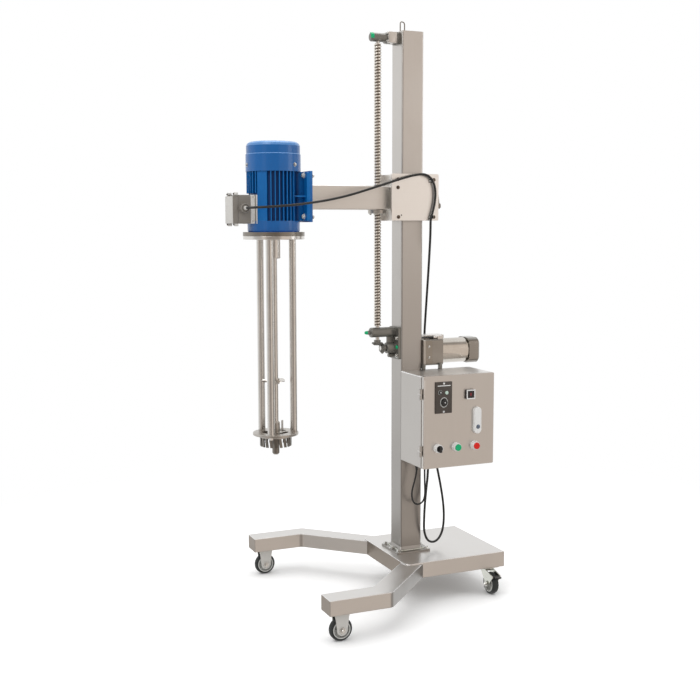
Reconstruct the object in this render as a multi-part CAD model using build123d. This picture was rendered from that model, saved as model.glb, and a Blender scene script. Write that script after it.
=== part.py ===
from build123d import *
import os
from math import cos, pi, radians, sin, tan

# A high shear mixer on a wheeled lift stand, in millimetres.
# The origin is on the floor under the column's axis. +Z is up, -X is the side of the mixing
# head, -Y is the side of the control box.

# Clearances
RUNNING = 0.05  # radial, a shaft in its bore
GAP = 0.3  # between bodies that move past each other

# Base frame: a folded sheet tray, two legs joined to a deck by 45 degree diagonals
leg_width = 74
leg_outer_y = 397
leg_end_x = -454
outer_bend_x = -242
deck_back_x = 296
deck_half_y = 179
base_bottom = 94
base_height = 49
base_sheet = 3
fold_radius = 25
deck_plate_thickness = 4
deck_plate_left_x = -88
base_rib_thickness = 4

# Column
column_width = 80
column_wall = 4
column_corner = 5
column_top = 1926
foot_flange_width = 130
foot_flange_thickness = 6
weld_collar_height = 12
weld_collar_width = 7

# Wire hoop on the column's top
hoop_wire = 4
hoop_rise = 34
hoop_left_x = -32
hoop_right_x = -9
hoop_depth = 7

# Casters
wheel_diameter = 75
wheel_width = 24
wheel_bore_diameter = 8
hub_diameter = 46
hub_recess = 3
caster_plate = 56
caster_plate_thickness = 3
fork_sheet = 3
fork_side_gap = 2
fixed_caster_x = -405
fixed_caster_y = 360
swivel_caster_x = 248
swivel_caster_y = 148
swivel_trail = 24
swivel_race_diameter = 46
swivel_race_height = 7
swivel_bridge_half = 17
fixed_bridge_half = 24
bridge_depth = 8
axle_eye_diameter = 18
axle_end_reach = 3
king_pin_diameter = 12
king_pin_height = 6
pedal_pin_diameter = 4
pedal_pin_reach = 32
pedal_pin_z = 68
pedal_eye_diameter = 10
pedal_boss_diameter = 7.5
pedal_length = 24
pedal_thickness = 4

# Lead screw, bevel gears and their bearings
screw_x = -112
screw_diameter = 25
screw_bottom = 940
journal_diameter = 14
drive_axis_z = 864
bevel_teeth = 18
bevel_module = 2.1
bevel_face = 7.5
bevel_rim = 2
bevel_hub_length = 8
bevel_hub_diameter = 23
tooth_share = 0.36
bush_wall = 4
bush_height = 16
bearing_seat_margin = 2
barrel_screw_gap = 20
upper_bush_drop = 4
lower_barrel_diameter = 34
lower_barrel_z = 919
barrel_left_x = -140
barrel_right_x = -66
barrel_nose = 11
lower_plate_bottom = 826
lower_plate_top = 936
lower_plate_half_y = 36
lower_plate_thickness = 9
lower_rib_width = 8
lower_rib_foot = 12
lower_knob_diameter = 13
lower_knob_length = 22
nose_diameter = 14
upper_barrel_diameter = 29
upper_barrel_z = 1904
upper_collar_diameter = 38
upper_plate_half = 20
upper_collar_length = 16

# Drive shaft and gearmotor on the back of the column
drive_shaft_diameter = 14
shaft_bearing_diameter = 38
gear_unit_z = 845
gear_unit_width = 90
gear_unit_corner = 8
bracket_half_y = 52
bracket_bottom = 792
bracket_top = 890
bracket_thickness = 8
shaft_window = 22
shaft_in_gearhead = 26
gearhead_length = 30
motor_square_length = 42
motor_round_length = 102
motor_round_diameter = 87
motor_groove = 3
motor_cap_length = 43
lead_box_x = 62
lead_box_length = 78
lead_box_height = 13
lead_box_near_y = -14
lead_box_far_y = 34
lead_entry_x = 102
lead_entry_near_y = -38
lead_gland_diameter = 11
lead_gland_length = 14
lead_y = -29

# Carriage and lift arm
carriage_bottom = 1299
carriage_top = 1455
side_plate_half_x = 88
side_plate_inner_y = 54
side_plate_thickness = 8
end_plate_inner_x = 50
end_plate_thickness = 10
pad_height = 34
pad_width = 50
arm_width = 60
arm_bottom = 1335
arm_height = 80
arm_wall = 4
arm_corner = 5
motor_plate_x = -386
motor_plate_thickness = 9
motor_plate_half_y = 75
motor_plate_bottom = 1294
motor_plate_top = 1457
nut_flange_diameter = 64
nut_flange_thickness = 12
nut_body_diameter = 40
nut_body_height = 40
clamp_z = 1350
clamp_stud_diameter = 10
clamp_hub_x = 108
clamp_hub_length = 18
clamp_hub_diameter = 20
clamp_lever_length = 58

# Mixer motor
mixer_x = -484
shield_bottom = 1262
frame_bottom = 1298
frame_top = 1455
frame_radius = 76
frame_wall = 9
fin_tip_radius = 87
fin_thickness = 3
fin_count = 40
fin_phase = 2.5
fin_free_of_box = 36
fin_free_of_feet = 58
pad_angle = 225
pad_half_angle = 12
pad_half_width = 17
fin_above_box = 6
foot_thickness = 10
foot_web_y = 34
foot_rib_half_y = 62
foot_rib_thickness = 5
foot_margin = 4
web_sheet = 6
motor_flange_diameter = 200
motor_flange_thickness = 12
fan_cover_radius = 89
fan_cover_sheet = 2
fan_cover_top = 1551
fan_cover_step_z = 1510
fan_cover_step = 2
cover_tab = 10
motor_shaft_diameter = 24
motor_bearing_diameter = 52
motor_bearing_height = 15
rotor_core_radius = 40
air_gap = 0.5
stator_bottom = 1324
stator_top = 1418
winding_height = 12
fan_radius = 72
fan_blades = 7
fan_height = 26
fan_hub_radius = 20
fan_above_frame = 15
fan_blade_thickness = 3
grille_radii = (18, 30, 42, 54)
grille_slot = 6
terminal_half_y = 40
terminal_bottom = 1289
terminal_top = 1380
terminal_inner_x = -575
terminal_outer_x = -616
terminal_lid_x = -635
terminal_lid_overhang = 8
terminal_gland_offset_x = -4.5
terminal_gland_offset_z = 3.5
terminal_flat_margin = 8
terminal_wall = 3
terminal_gland_diameter = 28
terminal_gland_length = 26

# Mixing head
head_flange_thickness = 12
rod_diameter = 24
rod_circle_diameter = 126
rod_angles = (-3, 117, 237)
head_plate_diameter = 151
head_plate_top = 602
head_plate_thickness = 8
head_hub_diameter = 29
head_hub_height = 36
head_hub_chamfer = 4
head_opening_radius = 35
head_opening_width = 17
head_opening_angle = 68
guide_blade_width = 9
guide_blade_height = 28
guide_blade_thickness = 4
guide_blade_radius = 60
guide_blade_angle = 50
cage_diameter = 105
cage_wall = 5
cage_height = 37
cage_slots = 20
cage_slot_width = 7.5
cage_slot_slant = -5
cage_slot_phase = 7.5
cage_top_rim = 3
shear_gap = 0.6
mixing_shaft_diameter = 20
coupling_diameter = 42
coupling_bottom = 1176
coupling_overlap = 10
propeller_z = 773
propeller_radius = 46
propeller_blades = 3
propeller_phase = 31
propeller_hub_height = 18
propeller_hub_diameter = 30
propeller_pitch_angle = 32
propeller_blade_thickness = 3
impeller_blades = 2
impeller_phase = 70.5
impeller_blade_thickness = 6
impeller_hub_diameter = 26
impeller_nut_diameter = 24
rod_spigot_diameter = 10
rod_nut_width = 16
rod_nut_height = 8
head_step = 2
shaft_tip_z = 527
shaft_end_inset = 6

# Control box on the side of the column
box_left_x = -40
box_right_x = 230
box_depth = 150
box_bottom = 475
box_top = 787
box_wall = 2
door_thickness = 14
door_sheet = 2
door_side_gap = 1.5
hinge_pin_diameter = 6
hinge_barrel_diameter = 11
panel_plate_thickness = 3
hinge_knuckle = 18
hinge_inset = 60
hinge_leaf = 3
gland_thread = 16
gland_head = 22
gland_drop = 16
gland_cone = 5

# Door fittings
button_row_z = 543
selector_x = 14.5
green_button_x = 84
red_button_x = 155
button_hole = 16
bezel_diameter = 30
bezel_height = 18
button_cap_diameter = 22
button_travel = 4
button_stem_diameter = 8
button_stem_depth = 6
selector_grip_width = 9
selector_grip_length = 22
selector_grip_height = 9
dial_x = 36
dial_z = 697
dial_diameter = 22
dial_height = 12
dial_stem_diameter = 8
control_plate_x = 4
control_plate_width = 63
control_plate_bottom = 660
control_plate_height = 106
control_plate_thickness = 4
display_x = 117
display_width = 36
display_bottom = 702
display_depth = 10
display_rim = 5
display_recess = 2
handle_x = 163
handle_pivot_z = 607
handle_spindle = 12
handle_width = 29
handle_height = 91
handle_below_pivot = 24
handle_depth = 12
cam_thickness = 3

# Inside the control box: places are from its left wall and its floor
panel_margin_side = 15
panel_margin_bottom = 25
panel_margin_top = 20
inverter_x = 30
inverter_width = 90
inverter_height = 142
inverter_depth = 95
device_top_margin = 50
contactor_x = 140
contactor_pitch = 50
contactor_width = 42
contactor_height = 80
contactor_depth = 60
contactor_step = 12
terminal_row_x = 40
terminal_row_width = 190
terminal_row_bottom = 60
terminal_row_height = 34
terminal_row_depth = 38
terminal_ways = 12
terminal_slit = 1.6

# Cords
motor_cable_diameter = 8
loop_cable_diameter = 8
small_cable_diameter = 6
lead_diameter = 5
clip_x = 47

# Values worked out from the sizes above
base_top = base_bottom + base_height
deck_top = base_top + deck_plate_thickness
column_half = column_width / 2
wheel_radius = wheel_diameter / 2
drive_plate_x = -column_half - lower_plate_thickness
bevel_radius = bevel_teeth * bevel_module / 2
plate_bottom = head_plate_top - head_plate_thickness
mixer_flange_top = shield_bottom - motor_flange_thickness
mixer_flange_bottom = mixer_flange_top - head_flange_thickness
box_front_y = -column_half - box_depth
door_front_y = box_front_y - GAP - door_thickness
screw_top = upper_barrel_z - barrel_screw_gap
cage_bottom = plate_bottom - cage_height
cage_bore_radius = cage_diameter / 2 - cage_wall
impeller_radius = cage_bore_radius - shear_gap


def rod(diameter, start, direction, length):
    """A round bar from a point, along a unit direction."""
    plane = Plane(origin=start, z_dir=direction)
    return extrude(plane * Circle(diameter / 2), length)


def block(x0, x1, y0, y1, z0, z1):
    """A rectangular piece between two corners."""
    middle = Pos((x0 + x1) / 2, (y0 + y1) / 2, (z0 + z1) / 2)
    return middle * Box(x1 - x0, y1 - y0, z1 - z0)


def turned(points, centre=(0, 0, 0), axis=(0, 0, 1)):
    """A turned piece: points are (radius, height) along the axis from the centre."""
    outline = make_face(Plane.XZ * Polyline(*points, close=True))
    piece = revolve(outline, Axis.Z)
    return Plane(origin=centre, z_dir=axis) * piece


def tube_about(centre, outer, inner, z0, z1):
    """An upright ring."""
    points = [(inner, z0), (outer, z0), (outer, z1), (inner, z1)]
    return turned(points, (centre[0], centre[1], 0))


def cord_tube(points, diameter):
    """A cord: straight runs joined by arcs as large as the runs allow."""
    vectors = [Vector(*p) for p in points]
    radii = []
    for a, b, c in zip(vectors, vectors[1:], vectors[2:]):
        turn = radians((b - a).get_angle(c - b))
        shorter = min((b - a).length, (c - b).length)
        radii.append(0.45 * shorter / tan(turn / 2))
    path = FilletPolyline(*points, radius=radii) if radii else Polyline(*points)
    start = Plane(origin=path @ 0, z_dir=path % 0)
    tube = sweep(start * Circle(diameter / 2), path)
    share = tube.volume / (pi * diameter**2 / 4 * path.length)
    print("cord", round(path.length), "mm, volume share", round(share, 4))
    print("  radii", [round(r) for r in radii])
    return tube


# Base frame, column and casters


def base_outline():
    """The plan of the legs, diagonals and deck, seen from above."""
    diagonal = outer_bend_x + leg_outer_y
    inner_bend_x = outer_bend_x - leg_width * tan(radians(22.5))
    inner_y = leg_outer_y - leg_width
    inner_sum = inner_bend_x + inner_y
    half = [
        (deck_plate_left_x, inner_sum - deck_plate_left_x),
        (inner_bend_x, inner_y),
        (leg_end_x, inner_y),
        (leg_end_x, leg_outer_y),
        (outer_bend_x, leg_outer_y),
        (diagonal - deck_half_y, deck_half_y),
        (deck_back_x, deck_half_y),
    ]
    mirrored = [(x, -y) for x, y in reversed(half)]
    plan = make_face(Polyline(*half, *mirrored, close=True))
    folds = [v for v in plan.vertices() if leg_end_x + 1 < v.X < deck_plate_left_x - 1]
    return fillet(folds, fold_radius)


def base_frame():
    plan = base_outline()
    hollow = offset(plan, -base_sheet, kind=Kind.INTERSECTION)
    tray = Pos(0, 0, base_bottom) * extrude(plan, base_height)
    space = Pos(0, 0, base_bottom) * extrude(hollow, base_height - base_sheet)
    ribs = []
    for y in (-deck_half_y / 3, deck_half_y / 3):
        ribs.append(
            block(
                deck_plate_left_x,
                deck_back_x - base_sheet,
                y - base_rib_thickness / 2,
                y + base_rib_thickness / 2,
                base_bottom,
                base_top,
            )
        )
    middle_x = (deck_plate_left_x + deck_back_x) / 2
    for x in (deck_plate_left_x + base_rib_thickness, middle_x):
        ribs.append(
            block(
                x - base_rib_thickness / 2,
                x + base_rib_thickness / 2,
                -deck_half_y + base_sheet,
                deck_half_y - base_sheet,
                base_bottom,
                base_top,
            )
        )
    pads = []
    for x, y in caster_places():
        half = leg_width / 2 + 1
        at_back = x > 0
        side = 1 if y > 0 else -1
        x_end = deck_back_x if at_back else x + half
        y_end = side * deck_half_y if at_back else y + side * half
        y_low, y_high = sorted((y - side * half, y_end))
        pads.append(block(x - half, x_end, y_low, y_high, base_bottom, base_bottom + base_sheet))
    tray = tray - space + [(part & tray) for part in ribs + pads]
    plate = Rectangle(deck_back_x - deck_plate_left_x, 2 * deck_half_y)
    plate = Pos(middle_x, 0, base_top) * plate
    left = plate.vertices().sort_by(Axis.X)[:2]
    return tray + extrude(fillet(left, fold_radius), deck_plate_thickness)


def caster_places():
    places = [(fixed_caster_x, side * fixed_caster_y) for side in (-1, 1)]
    return places + [(swivel_caster_x, side * swivel_caster_y) for side in (-1, 1)]


def column():
    outer = RectangleRounded(column_width, column_width, column_corner)
    bore = RectangleRounded(
        column_width - 2 * column_wall, column_width - 2 * column_wall, column_corner - column_wall
    )
    foot_top = deck_top + foot_flange_thickness
    tube = Pos(0, 0, foot_top) * extrude(outer, column_top - foot_top)
    tube -= Pos(0, 0, foot_top) * extrude(bore, column_top - foot_top - column_wall)
    flange = RectangleRounded(foot_flange_width, foot_flange_width, column_corner)
    foot = Pos(0, 0, deck_top) * extrude(flange, foot_flange_thickness)
    weld_width = column_width + 2 * weld_collar_width
    weld = loft(
        [
            Pos(0, 0, foot_top) * RectangleRounded(weld_width, weld_width, column_corner + weld_collar_width),
            Pos(0, 0, foot_top + weld_collar_height) * outer,
        ]
    )
    weld -= Pos(0, 0, foot_top) * extrude(bore, weld_collar_height)
    body = tube + foot + weld
    across = rod(shaft_window, (-column_width, 0, drive_axis_z), (1, 0, 0), 2 * column_width)
    return body - across


def top_wire_hoop():
    """A bent wire, welded on the column's top."""
    path = FilletPolyline(
        (hoop_left_x, -hoop_depth, column_top),
        (hoop_left_x, -hoop_depth, column_top + hoop_rise),
        (hoop_right_x, hoop_depth, column_top + hoop_rise),
        (hoop_right_x, hoop_depth, column_top),
        radius=9,
    )
    start = Plane(origin=path @ 0, z_dir=path % 0)
    return sweep(start * Circle(hoop_wire / 2), path)


def wheel():
    """A moulded wheel about the Y axis, with a rounded tread, recessed sides and a plain bore."""
    half = wheel_width / 2
    web = half - hub_recess
    edge = 5
    bore = wheel_bore_diameter / 2 + RUNNING
    boss = wheel_bore_diameter
    with BuildSketch(Plane.XZ) as section:
        with BuildLine():
            Polyline(
                (bore, -half),
                (boss, -half),
                (boss + 1, -web),
                (hub_diameter / 2, -web),
                (hub_diameter / 2 + 1, -half),
                (wheel_radius - edge, -half),
            )
            ThreePointArc(
                (wheel_radius - edge, -half), (wheel_radius, 0), (wheel_radius - edge, half)
            )
            Polyline(
                (wheel_radius - edge, half),
                (hub_diameter / 2 + 1, half),
                (hub_diameter / 2, web),
                (boss + 1, web),
                (boss, half),
                (bore, half),
                (bore, -half),
            )
        make_face()
    return Plane(origin=(0, 0, 0), z_dir=(0, 1, 0)) * revolve(section.sketch, Axis.Z)


def fork_side(ear):
    """The outline of one fork side in its own plane: u along the trail, v upwards."""
    reach = swivel_trail if ear else 0
    top = base_bottom - caster_plate_thickness
    if ear:
        top -= swivel_race_height + GAP
    half_top = swivel_bridge_half if ear else fixed_bridge_half
    axle = Pos(reach, wheel_radius) * Circle(axle_eye_diameter / 2)
    bridge = Pos(0, top - bridge_depth / 2) * Rectangle(2 * half_top, bridge_depth)
    edges = axle.edges() + bridge.edges()
    if ear:
        edges += (Pos(pedal_pin_reach + reach, pedal_pin_z) * Circle(pedal_eye_diameter / 2)).edges()
    return make_hull(edges), top


def fork(ear):
    """A fork for a wheel about local Y. With an ear it trails along +X and carries a pedal."""
    outline, top = fork_side(ear)
    inner = wheel_width / 2 + fork_side_gap
    sides = []
    outer = inner + fork_sheet
    for y in (inner, -outer):
        plane = Plane(origin=(0, y, 0), x_dir=(1, 0, 0), z_dir=(0, -1, 0))
        sides.append(extrude(plane * outline, -fork_sheet))
    half = swivel_bridge_half if ear else fixed_bridge_half
    bridge = block(-half, half, -outer, outer, top - fork_sheet, top)
    reach = swivel_trail if ear else 0
    axle_end = outer + axle_end_reach
    axle = rod(wheel_bore_diameter, (reach, -axle_end, wheel_radius), (0, 1, 0), 2 * axle_end)
    body = bridge + sides + axle
    if ear:
        pin_place = (reach + pedal_pin_reach, -outer, pedal_pin_z)
        body += rod(pedal_pin_diameter, pin_place, (0, 1, 0), 2 * outer)
        body += rod(king_pin_diameter, (0, 0, top), (0, 0, 1), king_pin_height)
    return body


def caster_mounts():
    """Two fixed forks with their plates, and the plates and races of the swivel casters."""
    plate_z = base_bottom - caster_plate_thickness
    pieces = []
    for side in (-1, 1):
        place = Pos(fixed_caster_x, side * fixed_caster_y, 0)
        plate = block(*[s * caster_plate / 2 for s in (-1, 1, -1, 1)], plate_z, base_bottom)
        pieces.append(place * (plate + fork(False)))
        race = rod(swivel_race_diameter, (0, 0, plate_z), (0, 0, -1), swivel_race_height)
        race = chamfer(race.edges().group_by(Axis.Z)[0], 2)
        mouth = (0, 0, plate_z - swivel_race_height)
        socket = rod(king_pin_diameter + 2 * RUNNING, mouth, (0, 0, 1), king_pin_height + GAP)
        pieces.append(Pos(swivel_caster_x, side * swivel_caster_y, 0) * (plate + race - socket))
    return pieces


def brake_pedal():
    """A foot pedal on the fork's pin, in the fork's own frame."""
    reach = swivel_trail + pedal_pin_reach
    width = wheel_width - 2
    boss = rod(pedal_boss_diameter, (reach, -width / 2, pedal_pin_z), (0, 1, 0), width)
    top = pedal_pin_z + pedal_thickness
    tongue = block(reach, reach + pedal_length, -width / 2, width / 2, top - pedal_thickness, top)
    tip = tongue.edges().filter_by(Axis.Z).group_by(Axis.X)[-1]
    tongue = fillet(tip, 6)
    bore = rod(pedal_pin_diameter + 2 * RUNNING, (reach, -width, pedal_pin_z), (0, 1, 0), 2 * width)
    return boss + tongue - bore


def swivel_place(side):
    """The near swivel caster trails to the near side, the far one to the back."""
    turn = -90 if side < 0 else 0
    return Pos(swivel_caster_x, side * swivel_caster_y, 0) * Rot(0, 0, turn)


# Lead screw, gears and castings on the column's front


def bevel_gear():
    """A mitre gear, its apex at the origin and its big end towards +Z."""
    small = bevel_radius - bevel_face
    depth = bevel_module
    back = bevel_radius + bevel_rim
    cone = turned(
        [
            (0, small),
            (small - depth, small),
            (bevel_radius - depth, bevel_radius),
            (bevel_radius - depth, back),
            (0, back),
        ]
    )
    hub = rod(bevel_hub_diameter, (0, 0, back), (0, 0, 1), bevel_hub_length)
    thick = pi * bevel_module * tooth_share
    teeth = []
    for index in range(bevel_teeth):
        sections = []
        for radius in (small, bevel_radius):
            scale = radius / bevel_radius
            root = thick * 0.8 * scale
            tip = thick * 0.45 * scale
            low, high = -depth * scale * 1.3, depth * scale * 0.75
            plane = Plane(origin=(radius, 0, radius), x_dir=(0, 1, 0), z_dir=(1, 0, 1))
            outline = Polyline((-root, low), (root, low), (tip, high), (-tip, high), close=True)
            sections.append(plane * Rot(0, 0, 180) * make_face(outline))
        teeth.append(Rot(0, 0, 360 / bevel_teeth * index) * loft(sections))
    return cone + hub + teeth


def screw_gear():
    apex = (screw_x, 0, drive_axis_z)
    return Pos(*apex) * bevel_gear() - rod(journal_diameter, apex, (0, 0, 1), 2 * bevel_radius)


def drive_gear():
    apex = (screw_x, 0, drive_axis_z)
    half_pitch = Rot(0, 0, 180 / bevel_teeth)
    gear = Plane(origin=apex, x_dir=(0, 0, 1), z_dir=(1, 0, 0)) * half_pitch * bevel_gear()
    return gear - rod(drive_shaft_diameter, apex, (1, 0, 0), 2 * bevel_radius)


def lead_screw():
    gear_end = drive_axis_z + bevel_radius - bevel_face
    screw = rod(screw_diameter, (screw_x, 0, screw_bottom), (0, 0, 1), screw_top - screw_bottom)
    screw = chamfer(screw.edges().filter_by(GeomType.CIRCLE), 2)
    lower = rod(journal_diameter, (screw_x, 0, gear_end), (0, 0, 1), screw_bottom - gear_end)
    upper_end = upper_barrel_z + bush_height / 2 - upper_bush_drop
    upper = rod(journal_diameter, (screw_x, 0, screw_top), (0, 0, 1), upper_end - screw_top)
    return screw + lower + upper


def bush_diameter():
    return journal_diameter + 2 * RUNNING + 2 * bush_wall


def screw_bearings():
    pieces = []
    for middle in (lower_barrel_z, upper_barrel_z - upper_bush_drop):
        pieces.append(
            tube_about(
                (screw_x, 0),
                bush_diameter() / 2,
                journal_diameter / 2 + RUNNING,
                middle - bush_height / 2,
                middle + bush_height / 2,
            )
        )
    return pieces


def barrel(diameter, z):
    """A cast barrel along X with a rounded nose."""
    radius = diameter / 2
    body = rod(diameter, (barrel_left_x, 0, z), (1, 0, 0), barrel_right_x - barrel_left_x)
    body = fillet(body.edges().group_by(Axis.X)[0], radius * 0.35)
    return body


def lower_bearing_bracket():
    half = lower_plate_half_y
    plate = block(drive_plate_x, -column_half, -half, half, lower_plate_bottom, lower_plate_top)
    plate = fillet(plate.edges().filter_by(Axis.X), 6)
    arm = barrel(lower_barrel_diameter, lower_barrel_z)
    nose = rod(nose_diameter, (barrel_left_x - barrel_nose, 0, lower_barrel_z), (1, 0, 0), barrel_nose)
    nose = fillet(nose.edges().group_by(Axis.X)[0], 4)
    neck = Pos(0, 0, lower_barrel_z) * loft(
        [
            Plane(origin=(barrel_right_x, 0, 0), z_dir=(1, 0, 0)) * Circle(lower_barrel_diameter / 2),
            Plane(origin=(drive_plate_x, 0, 0), z_dir=(1, 0, 0)) * Circle(lower_barrel_diameter / 2 - 3),
        ]
    )
    seat_left = screw_x + bevel_radius + bevel_rim + bevel_hub_length + bearing_seat_margin
    seat = rod(shaft_bearing_diameter, (seat_left, 0, drive_axis_z), (1, 0, 0), drive_plate_x - seat_left)
    seat = fillet(seat.edges().group_by(Axis.X)[0], 4)
    rib_left = seat_left + 5
    foot_z = lower_plate_bottom + lower_rib_foot
    foot_x = drive_plate_x - lower_rib_foot
    rib_line = Polyline(
        (rib_left, lower_barrel_z),
        (drive_plate_x, lower_barrel_z),
        (drive_plate_x, foot_z),
        (foot_x, foot_z),
        (foot_x, drive_axis_z),
        (rib_left, drive_axis_z),
        close=True,
    )
    rib = extrude(Plane.XZ * make_face(rib_line), lower_rib_width / 2, both=True)
    knob = rod(lower_knob_diameter, (drive_plate_x, 0, foot_z), (-1, 0, 0), lower_knob_length)
    body = plate + arm + nose + neck + seat + rib + knob
    bore_length = -column_half - seat_left
    body -= rod(drive_shaft_diameter + 2 * RUNNING, (seat_left, 0, drive_axis_z), (1, 0, 0), bore_length)
    barrel_bottom = lower_barrel_z - lower_barrel_diameter / 2
    body -= rod(journal_diameter + 1, (screw_x, 0, barrel_bottom), (0, 0, 1), lower_barrel_diameter)
    body -= rod(bush_diameter(), (screw_x, 0, lower_barrel_z - bush_height / 2), (0, 0, 1), bush_height)
    return body


def upper_bearing_arm():
    half = upper_plate_half
    plate = block(drive_plate_x, -column_half, -half, half, upper_barrel_z - half, upper_barrel_z + half)
    plate = fillet(plate.edges().filter_by(Axis.X), 6)
    arm = barrel(upper_barrel_diameter, upper_barrel_z)
    collar_left = (barrel_right_x - upper_collar_length, 0, upper_barrel_z)
    collar = rod(upper_collar_diameter, collar_left, (1, 0, 0), upper_collar_length)
    collar = chamfer(collar.edges().filter_by(GeomType.CIRCLE), 2)
    neck_length = drive_plate_x - barrel_right_x
    neck = rod(upper_barrel_diameter - 5, (barrel_right_x, 0, upper_barrel_z), (1, 0, 0), neck_length)
    boss_bottom = upper_barrel_z - upper_bush_drop - bush_height / 2
    boss = rod(bush_diameter() + 3, (screw_x, 0, boss_bottom), (0, 0, 1), upper_barrel_z - boss_bottom)
    body = plate + arm + collar + neck + boss
    body -= rod(bush_diameter(), (screw_x, 0, boss_bottom), (0, 0, 1), bush_height)
    barrel_bottom = upper_barrel_z - upper_barrel_diameter / 2
    body -= rod(journal_diameter + 1, (screw_x, 0, barrel_bottom), (0, 0, 1), bush_height + 5)
    return body


# Gearmotor


def drive_shaft():
    start = screw_x + bevel_radius - bevel_face
    end = column_half + bracket_thickness + shaft_in_gearhead
    return rod(drive_shaft_diameter, (start, 0, drive_axis_z), (1, 0, 0), end - start)


def gear_section(x, width, corner):
    plane = Plane(origin=(x, 0, gear_unit_z), z_dir=(1, 0, 0))
    return plane * RectangleRounded(width, width, corner)


def gearmotor_bracket():
    outer_x = column_half + bracket_thickness
    plate = block(column_half, outer_x, -bracket_half_y, bracket_half_y, bracket_bottom, bracket_top)
    plate = fillet(plate.edges().filter_by(Axis.X), 5)
    return plate - rod(shaft_window, (column_half, 0, drive_axis_z), (1, 0, 0), bracket_thickness)


def gearhead():
    start = column_half + bracket_thickness
    body = extrude(gear_section(start, gear_unit_width, gear_unit_corner), gearhead_length)
    bore = drive_shaft_diameter + 2 * RUNNING
    return body - rod(bore, (start, 0, drive_axis_z), (1, 0, 0), shaft_in_gearhead + GAP)


def gearmotor_body():
    start = column_half + bracket_thickness + gearhead_length
    front = extrude(gear_section(start, gear_unit_width, gear_unit_corner), motor_square_length)
    round_start = start + motor_square_length
    barrel_part = rod(motor_round_diameter, (round_start, 0, gear_unit_z), (1, 0, 0), motor_round_length)
    groove_x = round_start + motor_round_length
    groove = rod(motor_round_diameter - 8, (groove_x, 0, gear_unit_z), (1, 0, 0), motor_groove)
    cap = extrude(gear_section(groove_x + motor_groove, gear_unit_width - 1, 22), motor_cap_length)
    cap = chamfer(cap.faces().sort_by(Axis.X)[-1].edges(), 6)
    return front + barrel_part + groove + cap


def gearmotor_terminal_box():
    """A flat connection box on top of the gearmotor, with a gland that points at the column."""
    bottom = gear_unit_z + gear_unit_width / 2
    top = bottom + lead_box_height
    box = block(lead_box_x, lead_box_x + lead_box_length, lead_box_near_y, lead_box_far_y, bottom, top)
    box = fillet(box.edges().filter_by(Axis.Z), 5)
    box = chamfer(box.faces().sort_by(Axis.Z)[-1].edges(), 1.5)
    entry = block(lead_entry_x, lead_entry_x + 20, lead_entry_near_y, lead_box_near_y + 6, bottom, top - 2)
    gland = rod(lead_gland_diameter, (lead_entry_x, lead_y, lead_z()), (-1, 0, 0), lead_gland_length)
    return box + entry + gland


def lead_z():
    return gear_unit_z + gear_unit_width / 2 + lead_gland_diameter / 2 + 0.5


def gearmotor_lead():
    start = lead_entry_x - lead_gland_length
    return cord_tube([(start, lead_y, lead_z()), (column_half, lead_y, lead_z())], lead_diameter)


# Carriage, arm and mixer motor


def carriage_frame():
    outer_y = side_plate_inner_y + side_plate_thickness
    half_x = side_plate_half_x
    half_y = side_plate_inner_y
    side = block(-half_x, half_x, half_y, outer_y, carriage_bottom, carriage_top)
    side = fillet(side.edges().filter_by(Axis.Y), 4)
    end_outer = end_plate_inner_x + end_plate_thickness
    end = block(end_plate_inner_x, end_outer, -half_y, half_y, carriage_bottom, carriage_top)
    body = side + mirror(side, Plane.XZ) + end + mirror(end, Plane.YZ)
    stud = rod(clamp_stud_diameter + 2 * RUNNING, (0, 0, clamp_z), (1, 0, 0), side_plate_half_x)
    return body - stud


def guide_pads():
    """Plastic slide pads between the carriage plates and the column's four faces."""
    pieces = []
    reaches = (end_plate_inner_x, side_plate_inner_y)
    for turn in (0, 90, 180, 270):
        reach = reaches[turn // 90 % 2]
        for z in (carriage_bottom, carriage_top - pad_height):
            pad = block(column_half + GAP, reach, -pad_width / 2, pad_width / 2, z, z + pad_height)
            pad = chamfer(pad.edges().group_by(Axis.X)[0].filter_by(Axis.Y), 1.5)
            if turn == 0 and z == carriage_bottom:
                pad -= rod(clamp_stud_diameter + 4, (0, 0, clamp_z), (1, 0, 0), 2 * column_half)
            pieces.append(Rot(0, 0, turn) * pad)
    return pieces


def lift_arm():
    """The square tube with the motor's plate welded on its end."""
    arm_end = -end_plate_inner_x - end_plate_thickness
    arm_start = motor_plate_x + motor_plate_thickness
    middle = arm_bottom + arm_height / 2
    length = arm_end - arm_start
    section = Plane(origin=(arm_start, 0, middle), x_dir=(0, 1, 0), z_dir=(1, 0, 0))
    outer = section * RectangleRounded(arm_width, arm_height, arm_corner)
    inner = section * RectangleRounded(arm_width - 2 * arm_wall, arm_height - 2 * arm_wall, arm_corner - 3)
    tube = extrude(outer, length) - extrude(inner, length)
    half = motor_plate_half_y
    plate = block(motor_plate_x, arm_start, -half, half, motor_plate_bottom, motor_plate_top)
    plate = fillet(plate.edges().filter_by(Axis.X), 5)
    hole = rod(screw_diameter + 6, (screw_x, 0, middle), (0, 0, 1), arm_height)
    nut_hole = rod(nut_body_diameter + 1, (screw_x, 0, arm_bottom - 1), (0, 0, 1), arm_wall + 2)
    return tube + plate - hole - nut_hole


def screw_nut():
    bore = screw_diameter / 2 + RUNNING
    flange_bottom = arm_bottom - nut_flange_thickness
    return turned(
        [
            (bore, flange_bottom),
            (nut_flange_diameter / 2 - 1, flange_bottom),
            (nut_flange_diameter / 2, flange_bottom + 1),
            (nut_flange_diameter / 2, arm_bottom),
            (nut_body_diameter / 2, arm_bottom),
            (nut_body_diameter / 2, arm_bottom + nut_body_height),
            (bore, arm_bottom + nut_body_height),
        ],
        (screw_x, 0, 0),
    )


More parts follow.
